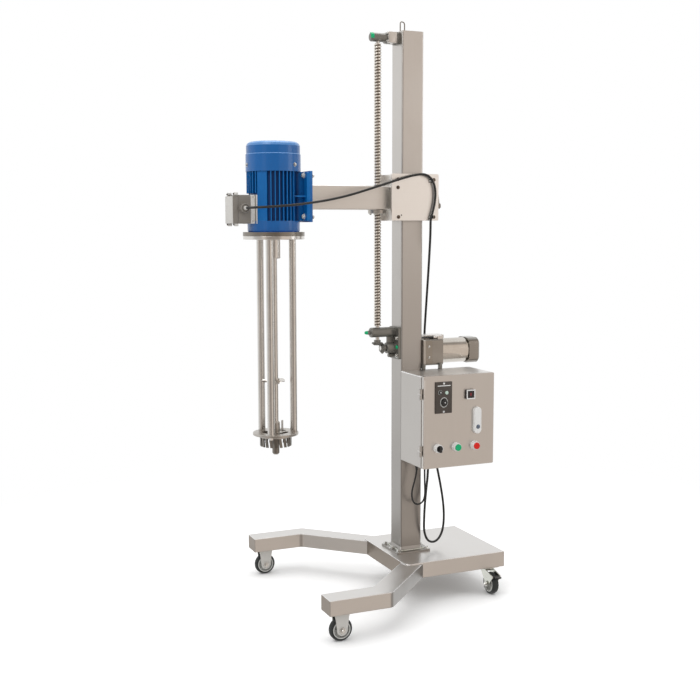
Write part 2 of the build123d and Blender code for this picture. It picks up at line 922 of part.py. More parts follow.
def clamp_lever():
    stud = rod(clamp_stud_diameter, (column_half + GAP, 0, clamp_z), (1, 0, 0), clamp_hub_x - column_half)
    hub = rod(clamp_hub_diameter, (clamp_hub_x, 0, clamp_z), (1, 0, 0), clamp_hub_length)
    hub = fillet(hub.edges().filter_by(GeomType.CIRCLE), 2)
    middle = clamp_hub_x + clamp_hub_length / 2
    arm = loft(
        [
            Pos(middle, 0, clamp_z + 4) * RectangleRounded(13, 15, 4),
            Pos(middle - 6, 0, clamp_z + clamp_lever_length) * RectangleRounded(9, 18, 4),
        ]
    )
    arm = fillet(arm.faces().sort_by(Axis.Z)[-1].edges(), 3)
    return stud + hub + arm


def mixer_flange():
    radius = motor_flange_diameter / 2
    disc = tube_about((mixer_x, 0), radius, coupling_diameter / 2 + 3, mixer_flange_bottom, mixer_flange_top)
    disc = chamfer(disc.edges().filter_by(GeomType.CIRCLE).group_by(SortBy.RADIUS)[-1], 1)
    return disc


def motor_end_shield():
    seat = motor_bearing_diameter / 2
    radius = motor_flange_diameter / 2
    clear = motor_shaft_diameter / 2 + 2
    bearing_bottom = shield_bottom + 4
    return turned(
        [
            (clear, mixer_flange_top),
            (radius - 1, mixer_flange_top),
            (radius, mixer_flange_top + 1),
            (radius, shield_bottom),
            (frame_radius + 6, shield_bottom),
            (frame_radius + 9, shield_bottom + 4),
            (frame_radius + 9, frame_bottom),
            (frame_radius - frame_wall, frame_bottom),
            (frame_radius - frame_wall, frame_bottom - 8),
            (seat + 6, frame_bottom - 12),
            (seat, frame_bottom - 12),
            (seat, bearing_bottom),
            (clear, bearing_bottom),
        ],
        (mixer_x, 0, 0),
    )


def motor_bearing_seats():
    """The lower edges of the two bearings on the motor shaft."""
    return (shield_bottom + 4, frame_top - motor_bearing_height - 2)


def motor_frame():
    """A finned shell with an upper bearing wall, feet at the back and a flat for the terminal box."""
    place = Pos(mixer_x, 0, 0)
    seat = motor_bearing_diameter / 2
    seat_bottom = motor_bearing_seats()[1]
    wall_bottom = seat_bottom - 6
    shell = turned(
        [
            (frame_radius - frame_wall, frame_bottom),
            (frame_radius, frame_bottom),
            (frame_radius, frame_top),
            (seat, frame_top),
            (seat, seat_bottom),
            (motor_shaft_diameter / 2 + 2, seat_bottom),
            (motor_shaft_diameter / 2 + 2, wall_bottom),
            (frame_radius - frame_wall, wall_bottom),
        ]
    )
    fins = []
    for index in range(fin_count):
        angle = 360 / fin_count * index + fin_phase
        at_feet = angle < fin_free_of_feet or angle > 360 - fin_free_of_feet
        at_pad = abs(angle - pad_angle) < pad_half_angle
        if at_feet or at_pad:
            continue
        at_box = abs(angle - 180) < fin_free_of_box
        low = terminal_top + fin_above_box if at_box else frame_bottom
        half = fin_thickness / 2
        fin = block(frame_radius - 1, fin_tip_radius, -half, half, low, frame_top)
        fins.append(Rot(0, 0, angle) * fin)
    pad = rod(2 * fin_tip_radius - 4, (0, 0, frame_bottom), (0, 0, 1), frame_top - frame_bottom)
    pad_side = pad_half_width
    pad &= Rot(0, 0, pad_angle) * block(
        frame_radius - 2, fin_tip_radius, -pad_side, pad_side, frame_bottom, frame_top
    )
    box_face = terminal_inner_x - mixer_x
    flat_half = terminal_half_y - terminal_flat_margin
    flat_back = -frame_radius + 12
    flat = block(box_face, flat_back, -flat_half, flat_half, frame_bottom, terminal_top - 4)
    bore = rod(2 * (frame_radius - 1), (0, 0, frame_bottom), (0, 0, 1), frame_top - frame_bottom)
    foot_face = motor_plate_x - mixer_x
    foot_half = motor_plate_half_y
    foot_low = motor_plate_bottom + foot_margin
    foot_high = motor_plate_top - foot_margin
    foot = block(foot_face - foot_thickness, foot_face, -foot_half, foot_half, foot_low, foot_high)
    foot = fillet(foot.edges().filter_by(Axis.X), 5)
    middle = (frame_bottom + frame_top) / 2
    rib_low, rib_high = middle - foot_rib_thickness / 2, middle + foot_rib_thickness / 2
    webs = [block(0, foot_face, -foot_rib_half_y, foot_rib_half_y, rib_low, rib_high)]
    for y in (-foot_web_y, foot_web_y):
        webs.append(block(0, foot_face, y - web_sheet / 2, y + web_sheet / 2, frame_bottom, frame_top))
    return place * (shell + fins + (pad - bore) + (flat - bore) + foot + [web - bore for web in webs])


def motor_stator():
    """The laminated ring with a winding overhang at each end."""
    inner = rotor_core_radius + air_gap
    outer = frame_radius - frame_wall
    low = stator_bottom - winding_height
    high = stator_top + winding_height
    return turned(
        [
            (inner + 4, low),
            (outer - 10, low),
            (outer - 8, stator_bottom),
            (outer, stator_bottom),
            (outer, stator_top),
            (outer - 8, stator_top),
            (outer - 10, high),
            (inner + 4, high),
            (inner + 2, stator_top),
            (inner, stator_top),
            (inner, stator_bottom),
            (inner + 2, stator_bottom),
        ],
        (mixer_x, 0, 0),
    )


def motor_bearings():
    pieces = []
    inner = motor_shaft_diameter / 2 + RUNNING
    outer = motor_bearing_diameter / 2
    for z in motor_bearing_seats():
        pieces.append(tube_about((mixer_x, 0), outer, inner, z, z + motor_bearing_height))
    return pieces


def fan_cover():
    """A pressed cover with a step, a domed top and an air grille."""
    r = fan_cover_radius
    t = fan_cover_sheet
    upper = r - fan_cover_step
    dome = 14
    profile = [
        (r, frame_top),
        (r, fan_cover_step_z),
        (upper, fan_cover_step_z + 2),
        (upper, fan_cover_top - dome),
        (upper - 3, fan_cover_top - dome + 7),
        (upper - 10, fan_cover_top - dome + 12),
        (upper - 24, fan_cover_top),
        (0, fan_cover_top),
        (0, fan_cover_top - t),
        (upper - 25, fan_cover_top - t),
        (upper - 11, fan_cover_top - dome + 12 - t),
        (upper - 3 - t, fan_cover_top - dome + 6),
        (upper - t, fan_cover_top - dome - 1),
        (upper - t, fan_cover_step_z + 2),
        (r - t, fan_cover_step_z),
        (r - t, frame_top),
    ]
    shell = turned(profile)
    slots = []
    half = grille_slot / 2
    for radius in grille_radii:
        ring = tube_about((0, 0), radius + half, radius - half, fan_cover_top - 2 * t, fan_cover_top + t)
        slots.append(ring)
    spoke = block(0, r, -half, half, fan_cover_top - 3 * t, fan_cover_top + 2 * t)
    spokes = [Rot(0, 0, 45 * index) * spoke for index in range(8)]
    grille = Part() + slots - spokes
    tab = block(frame_radius - 1, r - 1, -cover_tab / 2, cover_tab / 2, frame_top, frame_top + cover_tab)
    tabs = [Rot(0, 0, 45 + 90 * index) * tab for index in range(4)]
    return Pos(mixer_x, 0, 0) * (shell - grille + tabs)


def cooling_fan():
    low = frame_top + fan_above_frame
    high = low + fan_height
    inner = motor_shaft_diameter / 2
    half = fan_blade_thickness / 2
    hub = tube_about((0, 0), fan_hub_radius, inner, low, high)
    disc = tube_about((0, 0), fan_radius * 0.85, fan_hub_radius - 1, low, low + fan_blade_thickness)
    blade = block(fan_hub_radius - 2, fan_radius, -half, half, low, high)
    blades = [Rot(0, 0, 360 / fan_blades * index) * blade for index in range(fan_blades)]
    return Pos(mixer_x, 0, 0) * (hub + disc + blades)


def motor_rotor():
    """The motor's shaft with the rotor core on it."""
    core = rod(2 * rotor_core_radius, (mixer_x, 0, stator_bottom), (0, 0, 1), stator_top - stator_bottom)
    bottom = mixer_flange_bottom - coupling_overlap
    top = frame_top + fan_above_frame + fan_height + 1
    shaft = rod(motor_shaft_diameter, (mixer_x, 0, bottom), (0, 0, 1), top - bottom)
    return core + shaft


def terminal_box():
    """An open box on the motor's side, with a gland on its near side."""
    box = block(
        terminal_outer_x, terminal_inner_x, -terminal_half_y, terminal_half_y, terminal_bottom, terminal_top
    )
    box = fillet(box.edges().filter_by(Axis.X), 6)
    hollow = block(
        terminal_outer_x,
        terminal_inner_x - terminal_wall,
        -terminal_half_y + terminal_wall,
        terminal_half_y - terminal_wall,
        terminal_bottom + terminal_wall,
        terminal_top - terminal_wall,
    )
    gland_x = terminal_gland_x()
    z = terminal_gland_z()
    seat = rod(terminal_gland_diameter + 4, (gland_x, -terminal_half_y, z), (0, -1, 0), 3)
    nut_plane = Plane(origin=(gland_x, -terminal_half_y - 3, z), z_dir=(0, -1, 0))
    nut = extrude(nut_plane * RegularPolygon(terminal_gland_diameter / 2, 6), terminal_gland_length - 8)
    end_y = -terminal_half_y - terminal_gland_length
    wide = Plane(origin=(gland_x, end_y + 5, z), z_dir=(0, -1, 0)) * Circle(terminal_gland_diameter / 2 - 2)
    narrow = Plane(origin=(gland_x, end_y, z), z_dir=(0, -1, 0)) * Circle(motor_cable_diameter / 2 + 2)
    cone = loft([wide, narrow])
    return box - hollow + seat + nut + cone


def terminal_gland_x():
    return (terminal_inner_x + terminal_outer_x) / 2 + terminal_gland_offset_x


def terminal_gland_z():
    return (terminal_bottom + terminal_top) / 2 + terminal_gland_offset_z


def terminal_lid():
    half = terminal_half_y
    low, high = terminal_bottom - terminal_lid_overhang, terminal_top + terminal_lid_overhang
    lid = block(terminal_lid_x, terminal_outer_x, -half, half, low, high)
    lid = fillet(lid.edges().filter_by(Axis.X), 7)
    lid = fillet(lid.faces().sort_by(Axis.X)[0].edges(), 3)
    hollow = block(
        terminal_lid_x + terminal_wall,
        terminal_outer_x,
        -terminal_half_y + terminal_wall,
        terminal_half_y - terminal_wall,
        terminal_bottom + terminal_wall,
        terminal_top - terminal_wall,
    )
    return lid - hollow


# Mixing head


def rod_places():
    radius = rod_circle_diameter / 2
    return [(mixer_x + radius * cos(radians(a)), radius * sin(radians(a))) for a in rod_angles]


def support_rods():
    """Three bars from the flange to the head plate, with a shouldered nut end below."""
    pieces = []
    for x, y in rod_places():
        bar = rod(rod_diameter, (x, y, head_plate_top), (0, 0, 1), mixer_flange_bottom - head_plate_top)
        spigot = rod(rod_spigot_diameter, (x, y, plate_bottom), (0, 0, 1), head_plate_thickness)
        nut = extrude(Pos(x, y, plate_bottom) * RegularPolygon(rod_nut_width / 2, 6), -rod_nut_height)
        pieces.append(bar + spigot + nut)
    return pieces


def head_plate():
    """The round plate with three circulation openings, the shaft's bush hub and a guide blade."""
    place = Pos(mixer_x, 0, 0)
    disc = rod(head_plate_diameter, (0, 0, plate_bottom), (0, 0, 1), head_plate_thickness)
    disc = chamfer(disc.edges().filter_by(GeomType.CIRCLE), 1)
    hub_radius = head_hub_diameter / 2
    hub_top = head_plate_top + head_hub_height
    hub = turned(
        [
            (0, head_plate_top),
            (hub_radius, head_plate_top),
            (hub_radius, hub_top - head_hub_chamfer),
            (hub_radius - head_hub_chamfer + 0.5, hub_top),
            (0, hub_top),
        ]
    )
    reach = guide_blade_radius
    half = guide_blade_thickness / 2
    blade_top = head_plate_top + guide_blade_height
    blade = block(reach, reach + guide_blade_width, -half, half, plate_bottom, blade_top)
    blade = Rot(0, 0, guide_blade_angle) * blade
    openings = []
    for angle in rod_angles:
        start = angle + (120 - head_opening_angle) / 2
        arc = CenterArc((0, 0), head_opening_radius, start, head_opening_angle)
        slot = Pos(0, 0, plate_bottom) * SlotArc(arc, head_opening_width)
        openings.append(extrude(slot, head_plate_thickness))
    bore_diameter = mixing_shaft_diameter + 2 * RUNNING
    bore = rod(bore_diameter, (0, 0, plate_bottom), (0, 0, 1), hub_top - plate_bottom)
    body = place * (disc - openings + hub + blade - bore)
    for x, y in rod_places():
        body -= rod(rod_spigot_diameter, (x, y, plate_bottom), (0, 0, 1), head_plate_thickness)
    return body


def stator_cage():
    """The comb-like stator ring under the head plate: slanted slots, open at their lower end."""
    outer = cage_diameter / 2
    ring = tube_about((0, 0), outer, cage_bore_radius, cage_bottom, plate_bottom)
    half = cage_slot_width / 2
    lean = cage_slot_slant / 2
    high = plate_bottom - cage_top_rim
    outline = make_face(
        Polyline(
            (-half - lean, cage_bottom - 1),
            (half - lean, cage_bottom - 1),
            (half + lean, high),
            (-half + lean, high),
            close=True,
        )
    )
    inside = Plane(origin=(cage_bore_radius - cage_wall, 0, 0), x_dir=(0, 1, 0), z_dir=(1, 0, 0))
    cutter = extrude(inside * outline, 3 * cage_wall)
    turn = 360 / cage_slots
    slots = [Rot(0, 0, turn * index + cage_slot_phase) * cutter for index in range(cage_slots)]
    return Pos(mixer_x, 0, 0) * (ring - slots)


def shaft_coupling():
    """A two-jaw sleeve that clamps the motor shaft to the mixing shaft."""
    top = mixer_flange_top - 1
    sleeve = rod(coupling_diameter, (mixer_x, 0, coupling_bottom), (0, 0, 1), top - coupling_bottom)
    sleeve = chamfer(sleeve.edges().filter_by(GeomType.CIRCLE), 2)
    split = mixer_flange_bottom - coupling_overlap
    sleeve -= rod(motor_shaft_diameter, (mixer_x, 0, split), (0, 0, 1), top - split)
    shaft_depth = split - coupling_bottom
    return sleeve - rod(mixing_shaft_diameter, (mixer_x, 0, coupling_bottom), (0, 0, 1), shaft_depth)


def mixing_shaft():
    bottom = cage_bottom + shaft_end_inset
    top = mixer_flange_bottom - coupling_overlap - 1
    return rod(mixing_shaft_diameter, (mixer_x, 0, bottom), (0, 0, 1), top - bottom)


def propeller():
    """Three pitched blades on a hub, half way down the mixing shaft."""
    low = propeller_z - propeller_hub_height / 2
    bore_radius = mixing_shaft_diameter / 2
    hub = tube_about((0, 0), propeller_hub_diameter / 2, bore_radius, low, low + propeller_hub_height)
    tip = propeller_radius
    outline = make_face(
        Polyline((bore_radius, -7), (tip - 8, -11), (tip, -3), (tip - 4, 6), (bore_radius, 7), close=True)
    )
    half = propeller_blade_thickness / 2
    flat_blade = extrude(outline, half, both=True)
    blades = []
    for index in range(propeller_blades):
        turn = Rot(0, 0, 360 / propeller_blades * index + propeller_phase)
        blades.append(Pos(0, 0, propeller_z) * turn * Rot(propeller_pitch_angle, 0, 0) * flat_blade)
    bore = rod(mixing_shaft_diameter, (0, 0, propeller_z - tip), (0, 0, 1), 2 * tip)
    return Pos(mixer_x, 0, 0) * (hub + blades - bore)


def shear_rotor():
    """The two-bladed rotor inside the stator, its hub and the rounded end nut."""
    low = cage_bottom + head_step
    high = plate_bottom - head_step
    shaft_bottom = cage_bottom + shaft_end_inset
    nut = impeller_nut_diameter / 2
    wide = impeller_hub_diameter / 2
    hub = turned(
        [
            (0, shaft_tip_z),
            (nut - 4, shaft_tip_z),
            (nut, shaft_tip_z + 5),
            (nut, low),
            (wide, low),
            (wide, high),
            (0, high),
        ]
    )
    half = impeller_blade_thickness / 2
    blade = block(mixing_shaft_diameter / 2, impeller_radius, -half, half, low, high)
    blade &= rod(2 * impeller_radius, (0, 0, low), (0, 0, 1), high - low)
    turn = 360 / impeller_blades
    blades = [Rot(0, 0, turn * index + impeller_phase) * blade for index in range(impeller_blades)]
    bore = rod(mixing_shaft_diameter, (0, 0, shaft_bottom), (0, 0, 1), high - shaft_bottom)
    return Pos(mixer_x, 0, 0) * (hub + blades - bore)


# Control box


def control_box():
    """A sheet cabinet, open at the front, with a flange and hinge barrels on its left."""
    shell = block(box_left_x, box_right_x, box_front_y, -column_half, box_bottom, box_top)
    low_x, high_x = box_left_x + box_wall, box_right_x - box_wall
    low_z, high_z = box_bottom + box_wall, box_top - box_wall
    inside = block(low_x, high_x, box_front_y - 1, -column_half - box_wall, low_z, high_z)
    shell = fillet(shell.edges().filter_by(Axis.Y), 4) - inside
    x, y = hinge_line()
    for z in hinge_heights():
        knuckle = rod(hinge_barrel_diameter, (x, y, z - hinge_knuckle), (0, 0, 1), hinge_knuckle)
        leaf = block(x - hinge_leaf / 2, x + hinge_leaf / 2, y, box_front_y + 12, z - hinge_knuckle, z)
        foot = block(x, box_left_x + 1, box_front_y + 4, box_front_y + 12, z - hinge_knuckle, z)
        pin = rod(hinge_pin_diameter, (x, y, z), (0, 0, 1), hinge_knuckle - 2)
        shell += knuckle + leaf + foot + pin
    for cx, cy in cable_entries():
        shell -= rod(gland_thread, (cx, cy, box_bottom - 1), (0, 0, 1), 2 * box_wall)
    return shell


def hinge_line():
    return box_left_x - hinge_barrel_diameter / 2, door_front_y + door_thickness / 2


def hinge_heights():
    return box_bottom + hinge_inset, box_top - hinge_inset


def cable_entries():
    return loop_path()[-1][:2], small_loop_path()[0][:2], small_loop_path()[-1][:2]


def cable_glands():
    """Round cable glands screwed into the box's floor."""
    pieces = []
    for cx, cy in cable_entries():
        thread = rod(gland_thread, (cx, cy, box_bottom), (0, 0, 1), box_wall + 8)
        end = box_bottom - gland_drop
        hexagon = Pos(cx, cy, end + gland_cone) * RegularPolygon(gland_head / 2, 6)
        head = extrude(hexagon, gland_drop - gland_cone)
        wide = Pos(cx, cy, end + gland_cone) * Circle(gland_head / 2 - 2)
        cone = loft([wide, Pos(cx, cy, end) * Circle(motor_cable_diameter / 2 + 2)])
        pieces.append(thread + head + cone)
    return pieces


def box_inside_panel():
    """The mounting plate with a frequency inverter, two contactors and a terminal row."""
    back = -column_half - box_wall
    face = back - panel_plate_thickness
    left = box_left_x + panel_margin_side
    right = box_right_x - panel_margin_side
    plate = block(left, right, face, back, box_bottom + panel_margin_bottom, box_top - panel_margin_top)
    top = box_top - device_top_margin
    start = box_left_x + inverter_x
    inverter = block(start, start + inverter_width, face - inverter_depth, face, top - inverter_height, top)
    inverter = fillet(inverter.edges().filter_by(Axis.Y), 4)
    devices = [plate, inverter]
    for index in range(2):
        x = box_left_x + contactor_x + contactor_pitch * index
        front = face - contactor_depth
        contactor = block(x, x + contactor_width, front, face, top - contactor_height, top)
        inset = contactor_width / 5
        right = x + contactor_width - inset
        low = top - contactor_height + 2 * inset
        step = block(x + inset, right, front - contactor_step, front, low, top - 2 * inset)
        devices.append(contactor + step)
    row_left = box_left_x + terminal_row_x
    row_z = box_bottom + terminal_row_bottom
    row_top = row_z + terminal_row_height
    row_front = face - terminal_row_depth
    terminals = block(row_left, row_left + terminal_row_width, row_front, face, row_z, row_top)
    half = terminal_slit / 2
    slit = block(-half, half, row_front, row_front + terminal_row_depth / 3, row_z, row_top)
    for index in range(1, terminal_ways):
        terminals -= Pos(row_left + index * terminal_row_width / terminal_ways, 0, 0) * slit
    devices.append(terminals)
    return devices


def box_door():
    """A pan-shaped door with hinge knuckles, a stiffened rim and holes for its fittings."""
    left = box_left_x + door_side_gap
    right = box_right_x
    back = door_front_y + door_thickness
    pan = block(left, right, door_front_y, back, box_bottom, box_top)
    pan = fillet(pan.edges().filter_by(Axis.Y), 4)
    low_x, high_x = left + door_sheet, right - door_sheet
    low_z, high_z = box_bottom + door_sheet, box_top - door_sheet
    pan -= block(low_x, high_x, door_front_y + door_sheet, back + 1, low_z, high_z)
    x, y = hinge_line()
    bore = hinge_pin_diameter / 2 + RUNNING
    for z in hinge_heights():
        knuckle = tube_about((x, y), hinge_barrel_diameter / 2, bore, z + GAP, z + hinge_knuckle)
        knuckle_edge = x + hinge_barrel_diameter / 2 - hinge_leaf / 2
        half = hinge_leaf / 2
        leaf = block(knuckle_edge, left + 1, y - half, y + half, z + GAP, z + hinge_knuckle)
        pan += knuckle + leaf
    for cx, cz in button_places():
        pan -= rod(button_hole, (cx, door_front_y, cz), (0, 1, 0), door_sheet)
    pan -= rod(dial_stem_diameter, (dial_x, door_front_y, dial_z), (0, 1, 0), door_sheet)
    bore = handle_spindle + 2 * RUNNING
    return pan - rod(bore, (handle_x, door_front_y, handle_pivot_z), (0, 1, 0), door_sheet)


def button_places():
    """Selector, green and red, from left to right."""
    return [(x, button_row_z) for x in (selector_x, green_button_x, red_button_x)]


def door_fittings():
    """Fixed pieces on the door: the control plate, the framed display and three bezels."""
    front = door_front_y
    low_z = control_plate_bottom
    right = control_plate_x + control_plate_width
    thickness = control_plate_thickness
    plate = block(control_plate_x, right, front - thickness, front, low_z, low_z + control_plate_height)
    plate = fillet(plate.edges().filter_by(Axis.Y), 3)
    plate -= rod(dial_stem_diameter, (dial_x, front - thickness, dial_z), (0, 1, 0), thickness)
    low_z = display_bottom
    right = display_x + display_width
    display = block(display_x, right, front - display_depth, front, low_z, low_z + display_width)
    display = fillet(display.edges().filter_by(Axis.Y), 2)
    display = chamfer(display.faces().sort_by(Axis.Y)[0].edges(), 1)
    low_x, high_x = display_x + display_rim, right - display_rim
    high_z = low_z + display_width - display_rim
    floor_y = front - display_depth + display_recess
    display -= block(low_x, high_x, front - display_depth - 1, floor_y, low_z + display_rim, high_z)
    pieces = [plate, display]
    for cx, cz in button_places():
        ring = turned(
            [
                (button_hole / 2 - 3, -door_sheet),
                (button_hole / 2, -door_sheet),
                (button_hole / 2, 0),
                (bezel_diameter / 2, 0),
                (bezel_diameter / 2, bezel_height - 3),
                (bezel_diameter / 2 - 2, bezel_height),
                (button_cap_diameter / 2 + GAP, bezel_height),
                (button_cap_diameter / 2 + GAP, button_travel - 1),
                (button_hole / 2 - 3, button_travel - 1),
            ],
            (cx, front, cz),
            (0, -1, 0),
        )
        pieces.append(ring)
    return pieces


def push_button(place):
    """A cap with its stem, standing out of the bezel by its travel."""
    cx, cz = place
    radius = button_cap_diameter / 2
    stem = button_stem_diameter / 2
    back = 2 * button_travel - 1 + GAP
    return turned(
        [
            (0, -button_stem_depth),
            (stem, -button_stem_depth),
            (stem, back),
            (radius, back),
            (radius, bezel_height + button_travel - 1),
            (radius - 1, bezel_height + button_travel),
            (0, bezel_height + button_travel + 0.5),
        ],
        (cx, door_front_y, cz),
        (0, -1, 0),
    )


def selector_knob():
    cx, cz = button_places()[0]
    stem = button_stem_diameter / 2
    radius = button_cap_diameter / 2
    body = turned(
        [
            (0, -button_stem_depth),
            (stem, -button_stem_depth),
            (stem, button_travel),
            (radius, button_travel),
            (radius, bezel_height),
            (0, bezel_height),
        ],
        (cx, door_front_y, cz),
        (0, -1, 0),
    )
    front = door_front_y - bezel_height
    half_x = selector_grip_width / 2
    half_z = selector_grip_length / 2
    grip = block(cx - half_x, cx + half_x, front - selector_grip_height, front + 1, cz - half_z, cz + half_z)
    return body + fillet(grip.edges().filter_by(Axis.Y), 3)


def speed_dial():
    stem = dial_stem_diameter / 2 - 2 * RUNNING
    radius = dial_diameter / 2
    low = control_plate_thickness + GAP
    points = [
        (0, -door_sheet),
        (stem, -door_sheet),
        (stem, low),
        (radius, low),
        (radius - 1, dial_height - 1),
        (radius - 2, dial_height),
        (0, dial_height),
    ]
    return turned(points, (dial_x, door_front_y, dial_z), (0, -1, 0))


def door_handle():
    """A swing handle about its spindle near the lower end."""
    hx, hz = handle_x, handle_pivot_z
    back = door_front_y - GAP
    middle = hz + handle_height / 2 - handle_below_pivot
    outline = Pos(hx, middle) * SlotOverall(handle_height, handle_width, rotation=90)
    grip = Pos(0, back, 0) * extrude(Plane.XZ * outline, handle_depth)
    grip = fillet(grip.faces().sort_by(Axis.Y)[0].edges(), 4)
    cam_y = door_front_y + door_sheet + 2 * cam_thickness
    spindle = rod(handle_spindle, (hx, back, hz), (0, 1, 0), cam_y + cam_thickness - back)
    half = handle_spindle / 2
    cam = block(hx - half, hx + half, cam_y, cam_y + cam_thickness, hz - half, hz + 2 * handle_spindle)
    return grip + spindle + cam


# Cords: every route is a list of points chosen by hand


def upper_cable_path():
    """From the motor's gland along the arm to the carriage's edge."""
    z = terminal_gland_z()
    x, y, low = cable_joint()
    return [
        (terminal_gland_x(), -terminal_half_y - terminal_gland_length, z),
        (terminal_gland_x(), -104, z),
        (-586, -138, 1339),
        (-558, -152, 1340),
        (-518, -150, 1343),
        (-462, -138, 1347),
        (-404, -120, 1354),
        (-346, -106, 1362),
        (-288, -96, 1373),
        (-230, -88, 1387),
        (-172, -82, 1404),
        (-114, -77, 1421),
        (-58, -73, 1438),
        (-4, -71, 1452),
        (36, -70, 1455),
        (63, -70, 1434),
        (73, -70, 1398),
        (70, -70, 1360),
        (62, -70, 1328),
        (x, y, low + 14),
        (x, y, low),
    ]


def cable_joint():
    """Where the cable leaves the carriage and starts to hang."""
    return (54, -70, 1290)


def drop_path():
    """The hanging stretch, behind the gearmotor and the control box."""
    x, y, z = cable_joint()
    return [
        (x, y, z),
        (x, y, z - 30),
        (58, -58, 1210),
        (68, -32, 1145),
        (80, 0, 1070),
        (90, 30, 985),
        (97, 53, 905),
        (100, 62, 825),
        (104, 62, 745),
        (112, 56, 665),
        (122, 47, 595),
        (130, 38, 540),
        (134, 34, 504),
        loop_path()[0],
    ]


def loop_path():
    """The slack loop under the control box, back up into its floor."""
    return [
        (134, 34, 478),
        (134, 34, 450),
        (140, 22, 400),
        (145, 6, 340),
        (146, -8, 290),
        (142, -20, 246),
        (134, -28, 206),
        (114, -37, 177),
        (86, -46, 168),
        (57, -55, 181),
        (40, -62, 217),
        (37, -68, 262),
        (37, -73, 315),
        (41, -76, 376),
        (46, -78, 425),
        (46, -78, box_bottom - gland_drop),
    ]


def small_loop_path():
    """The short loop beside it, between two glands in the box's floor."""
    return [
        (0, -82, box_bottom - gland_drop),
        (0, -82, 436),
        (-8, -81, 404),
        (-16, -79, 375),
        (-16, -77, 350),
        (-8, -74, 330),
        (6, -71, 320),
        (23, -68, 320),
        (37, -65, 330),
        (44, -61, 350),
        (45, -57, 380),
        (46, -53, 414),
        (46, -53, box_bottom - gland_drop),
    ]


def main():
    os.makedirs("parts", exist_ok=True)
    near = swivel_place(-1)
    far = swivel_place(1)
    trailing_wheel = Pos(swivel_trail, 0, wheel_radius) * wheel()
    nodes = {
        "base_frame": base_frame(),
        "column": column(),
        "top_wire_hoop": top_wire_hoop(),
        "caster_mounts": caster_mounts(),
        "front_wheel_near": Pos(fixed_caster_x, -fixed_caster_y, wheel_radius) * wheel(),
        "front_wheel_far": Pos(fixed_caster_x, fixed_caster_y, wheel_radius) * wheel(),
        "swivel_fork_near": near * fork(True),
        "swivel_fork_far": far * fork(True),
        "rear_wheel_near": near * trailing_wheel,
        "rear_wheel_far": far * trailing_wheel,
        "brake_pedal_near": near * brake_pedal(),
        "brake_pedal_far": far * brake_pedal(),
        "upper_bearing_arm": upper_bearing_arm(),
        "lower_bearing_bracket": lower_bearing_bracket(),
        "screw_bearings": screw_bearings(),
        "lead_screw": lead_screw(),
        "screw_bevel_gear": screw_gear(),
        "drive_shaft": drive_shaft(),
        "drive_bevel_gear": drive_gear(),
        "gearmotor_bracket": gearmotor_bracket(),
        "gearhead": gearhead(),
        "gearmotor_body": gearmotor_body(),
        "gearmotor_terminal_box": gearmotor_terminal_box(),
        "gearmotor_lead": gearmotor_lead(),
        "carriage_frame": carriage_frame(),
        "guide_pads": guide_pads(),
        "lift_arm": lift_arm(),
        "screw_nut": screw_nut(),
        "clamp_lever": clamp_lever(),
        "motor_frame": motor_frame(),
        "motor_end_shield": motor_end_shield(),
        "motor_stator": motor_stator(),
        "motor_bearings": motor_bearings(),
        "fan_cover": fan_cover(),
        "terminal_box": terminal_box(),
        "terminal_lid": terminal_lid(),
        "mixer_flange": mixer_flange(),
        "support_rods": support_rods(),
        "head_plate": head_plate(),
        "stator_cage": stator_cage(),
        "motor_rotor": motor_rotor(),
        "cooling_fan": cooling_fan(),
        "shaft_coupling": shaft_coupling(),
        "mixing_shaft": mixing_shaft(),
        "propeller": propeller(),
        "shear_rotor": shear_rotor(),
        "control_box": control_box(),
        "box_inside_panel": box_inside_panel(),
        "cable_glands": cable_glands(),
        "box_door": box_door(),
        "door_fittings": door_fittings(),
        "door_handle": door_handle(),
        "green_button": push_button(button_places()[1]),
        "red_button": push_button(button_places()[2]),
        "selector_knob": selector_knob(),
        "speed_dial": speed_dial(),
        "motor_cable_upper": cord_tube(upper_cable_path(), motor_cable_diameter),
        "motor_cable_drop": cord_tube(drop_path(), motor_cable_diameter),
        "motor_cable_loop": cord_tube(loop_path(), loop_cable_diameter),
        "small_cable_loop": cord_tube(small_loop_path(), small_cable_diameter),
    }
    for name, piece in nodes.items():
        pieces = piece if isinstance(piece, list) else [piece]
        solids = [solid for one in pieces for solid in one.solids()]
        export_step(Compound(children=solids), f"parts/{name}.step")
        print(name, len(solids))


main()
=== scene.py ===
import math

import bmesh
import bpy
from mathutils import Matrix, Vector


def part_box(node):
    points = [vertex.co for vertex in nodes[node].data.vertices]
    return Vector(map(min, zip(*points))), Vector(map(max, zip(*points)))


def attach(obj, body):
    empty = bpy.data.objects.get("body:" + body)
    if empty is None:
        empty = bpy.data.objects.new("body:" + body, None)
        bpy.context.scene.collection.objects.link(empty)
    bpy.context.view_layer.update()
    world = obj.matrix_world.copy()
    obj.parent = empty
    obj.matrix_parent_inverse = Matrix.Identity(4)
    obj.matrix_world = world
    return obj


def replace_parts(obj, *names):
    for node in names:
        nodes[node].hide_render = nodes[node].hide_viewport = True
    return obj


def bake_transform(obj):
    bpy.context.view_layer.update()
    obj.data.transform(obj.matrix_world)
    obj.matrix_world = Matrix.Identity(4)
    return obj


# The looks of a high shear mixer on a wheeled lift stand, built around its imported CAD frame.
# Lengths are metres in the frame's own space: the floor is z 0 and the column stands on the origin.

bl_info = {
    "name": "High shear mixer dress",
    "version": (1, 0, 0),
    "blender": (4, 5, 0),
    "location": "3D View > Sidebar > Mixer",
    "description": "Adds cords, fasteners, trim and finishes to a packed lift-stand mixer",
    "category": "Add Mesh",
}

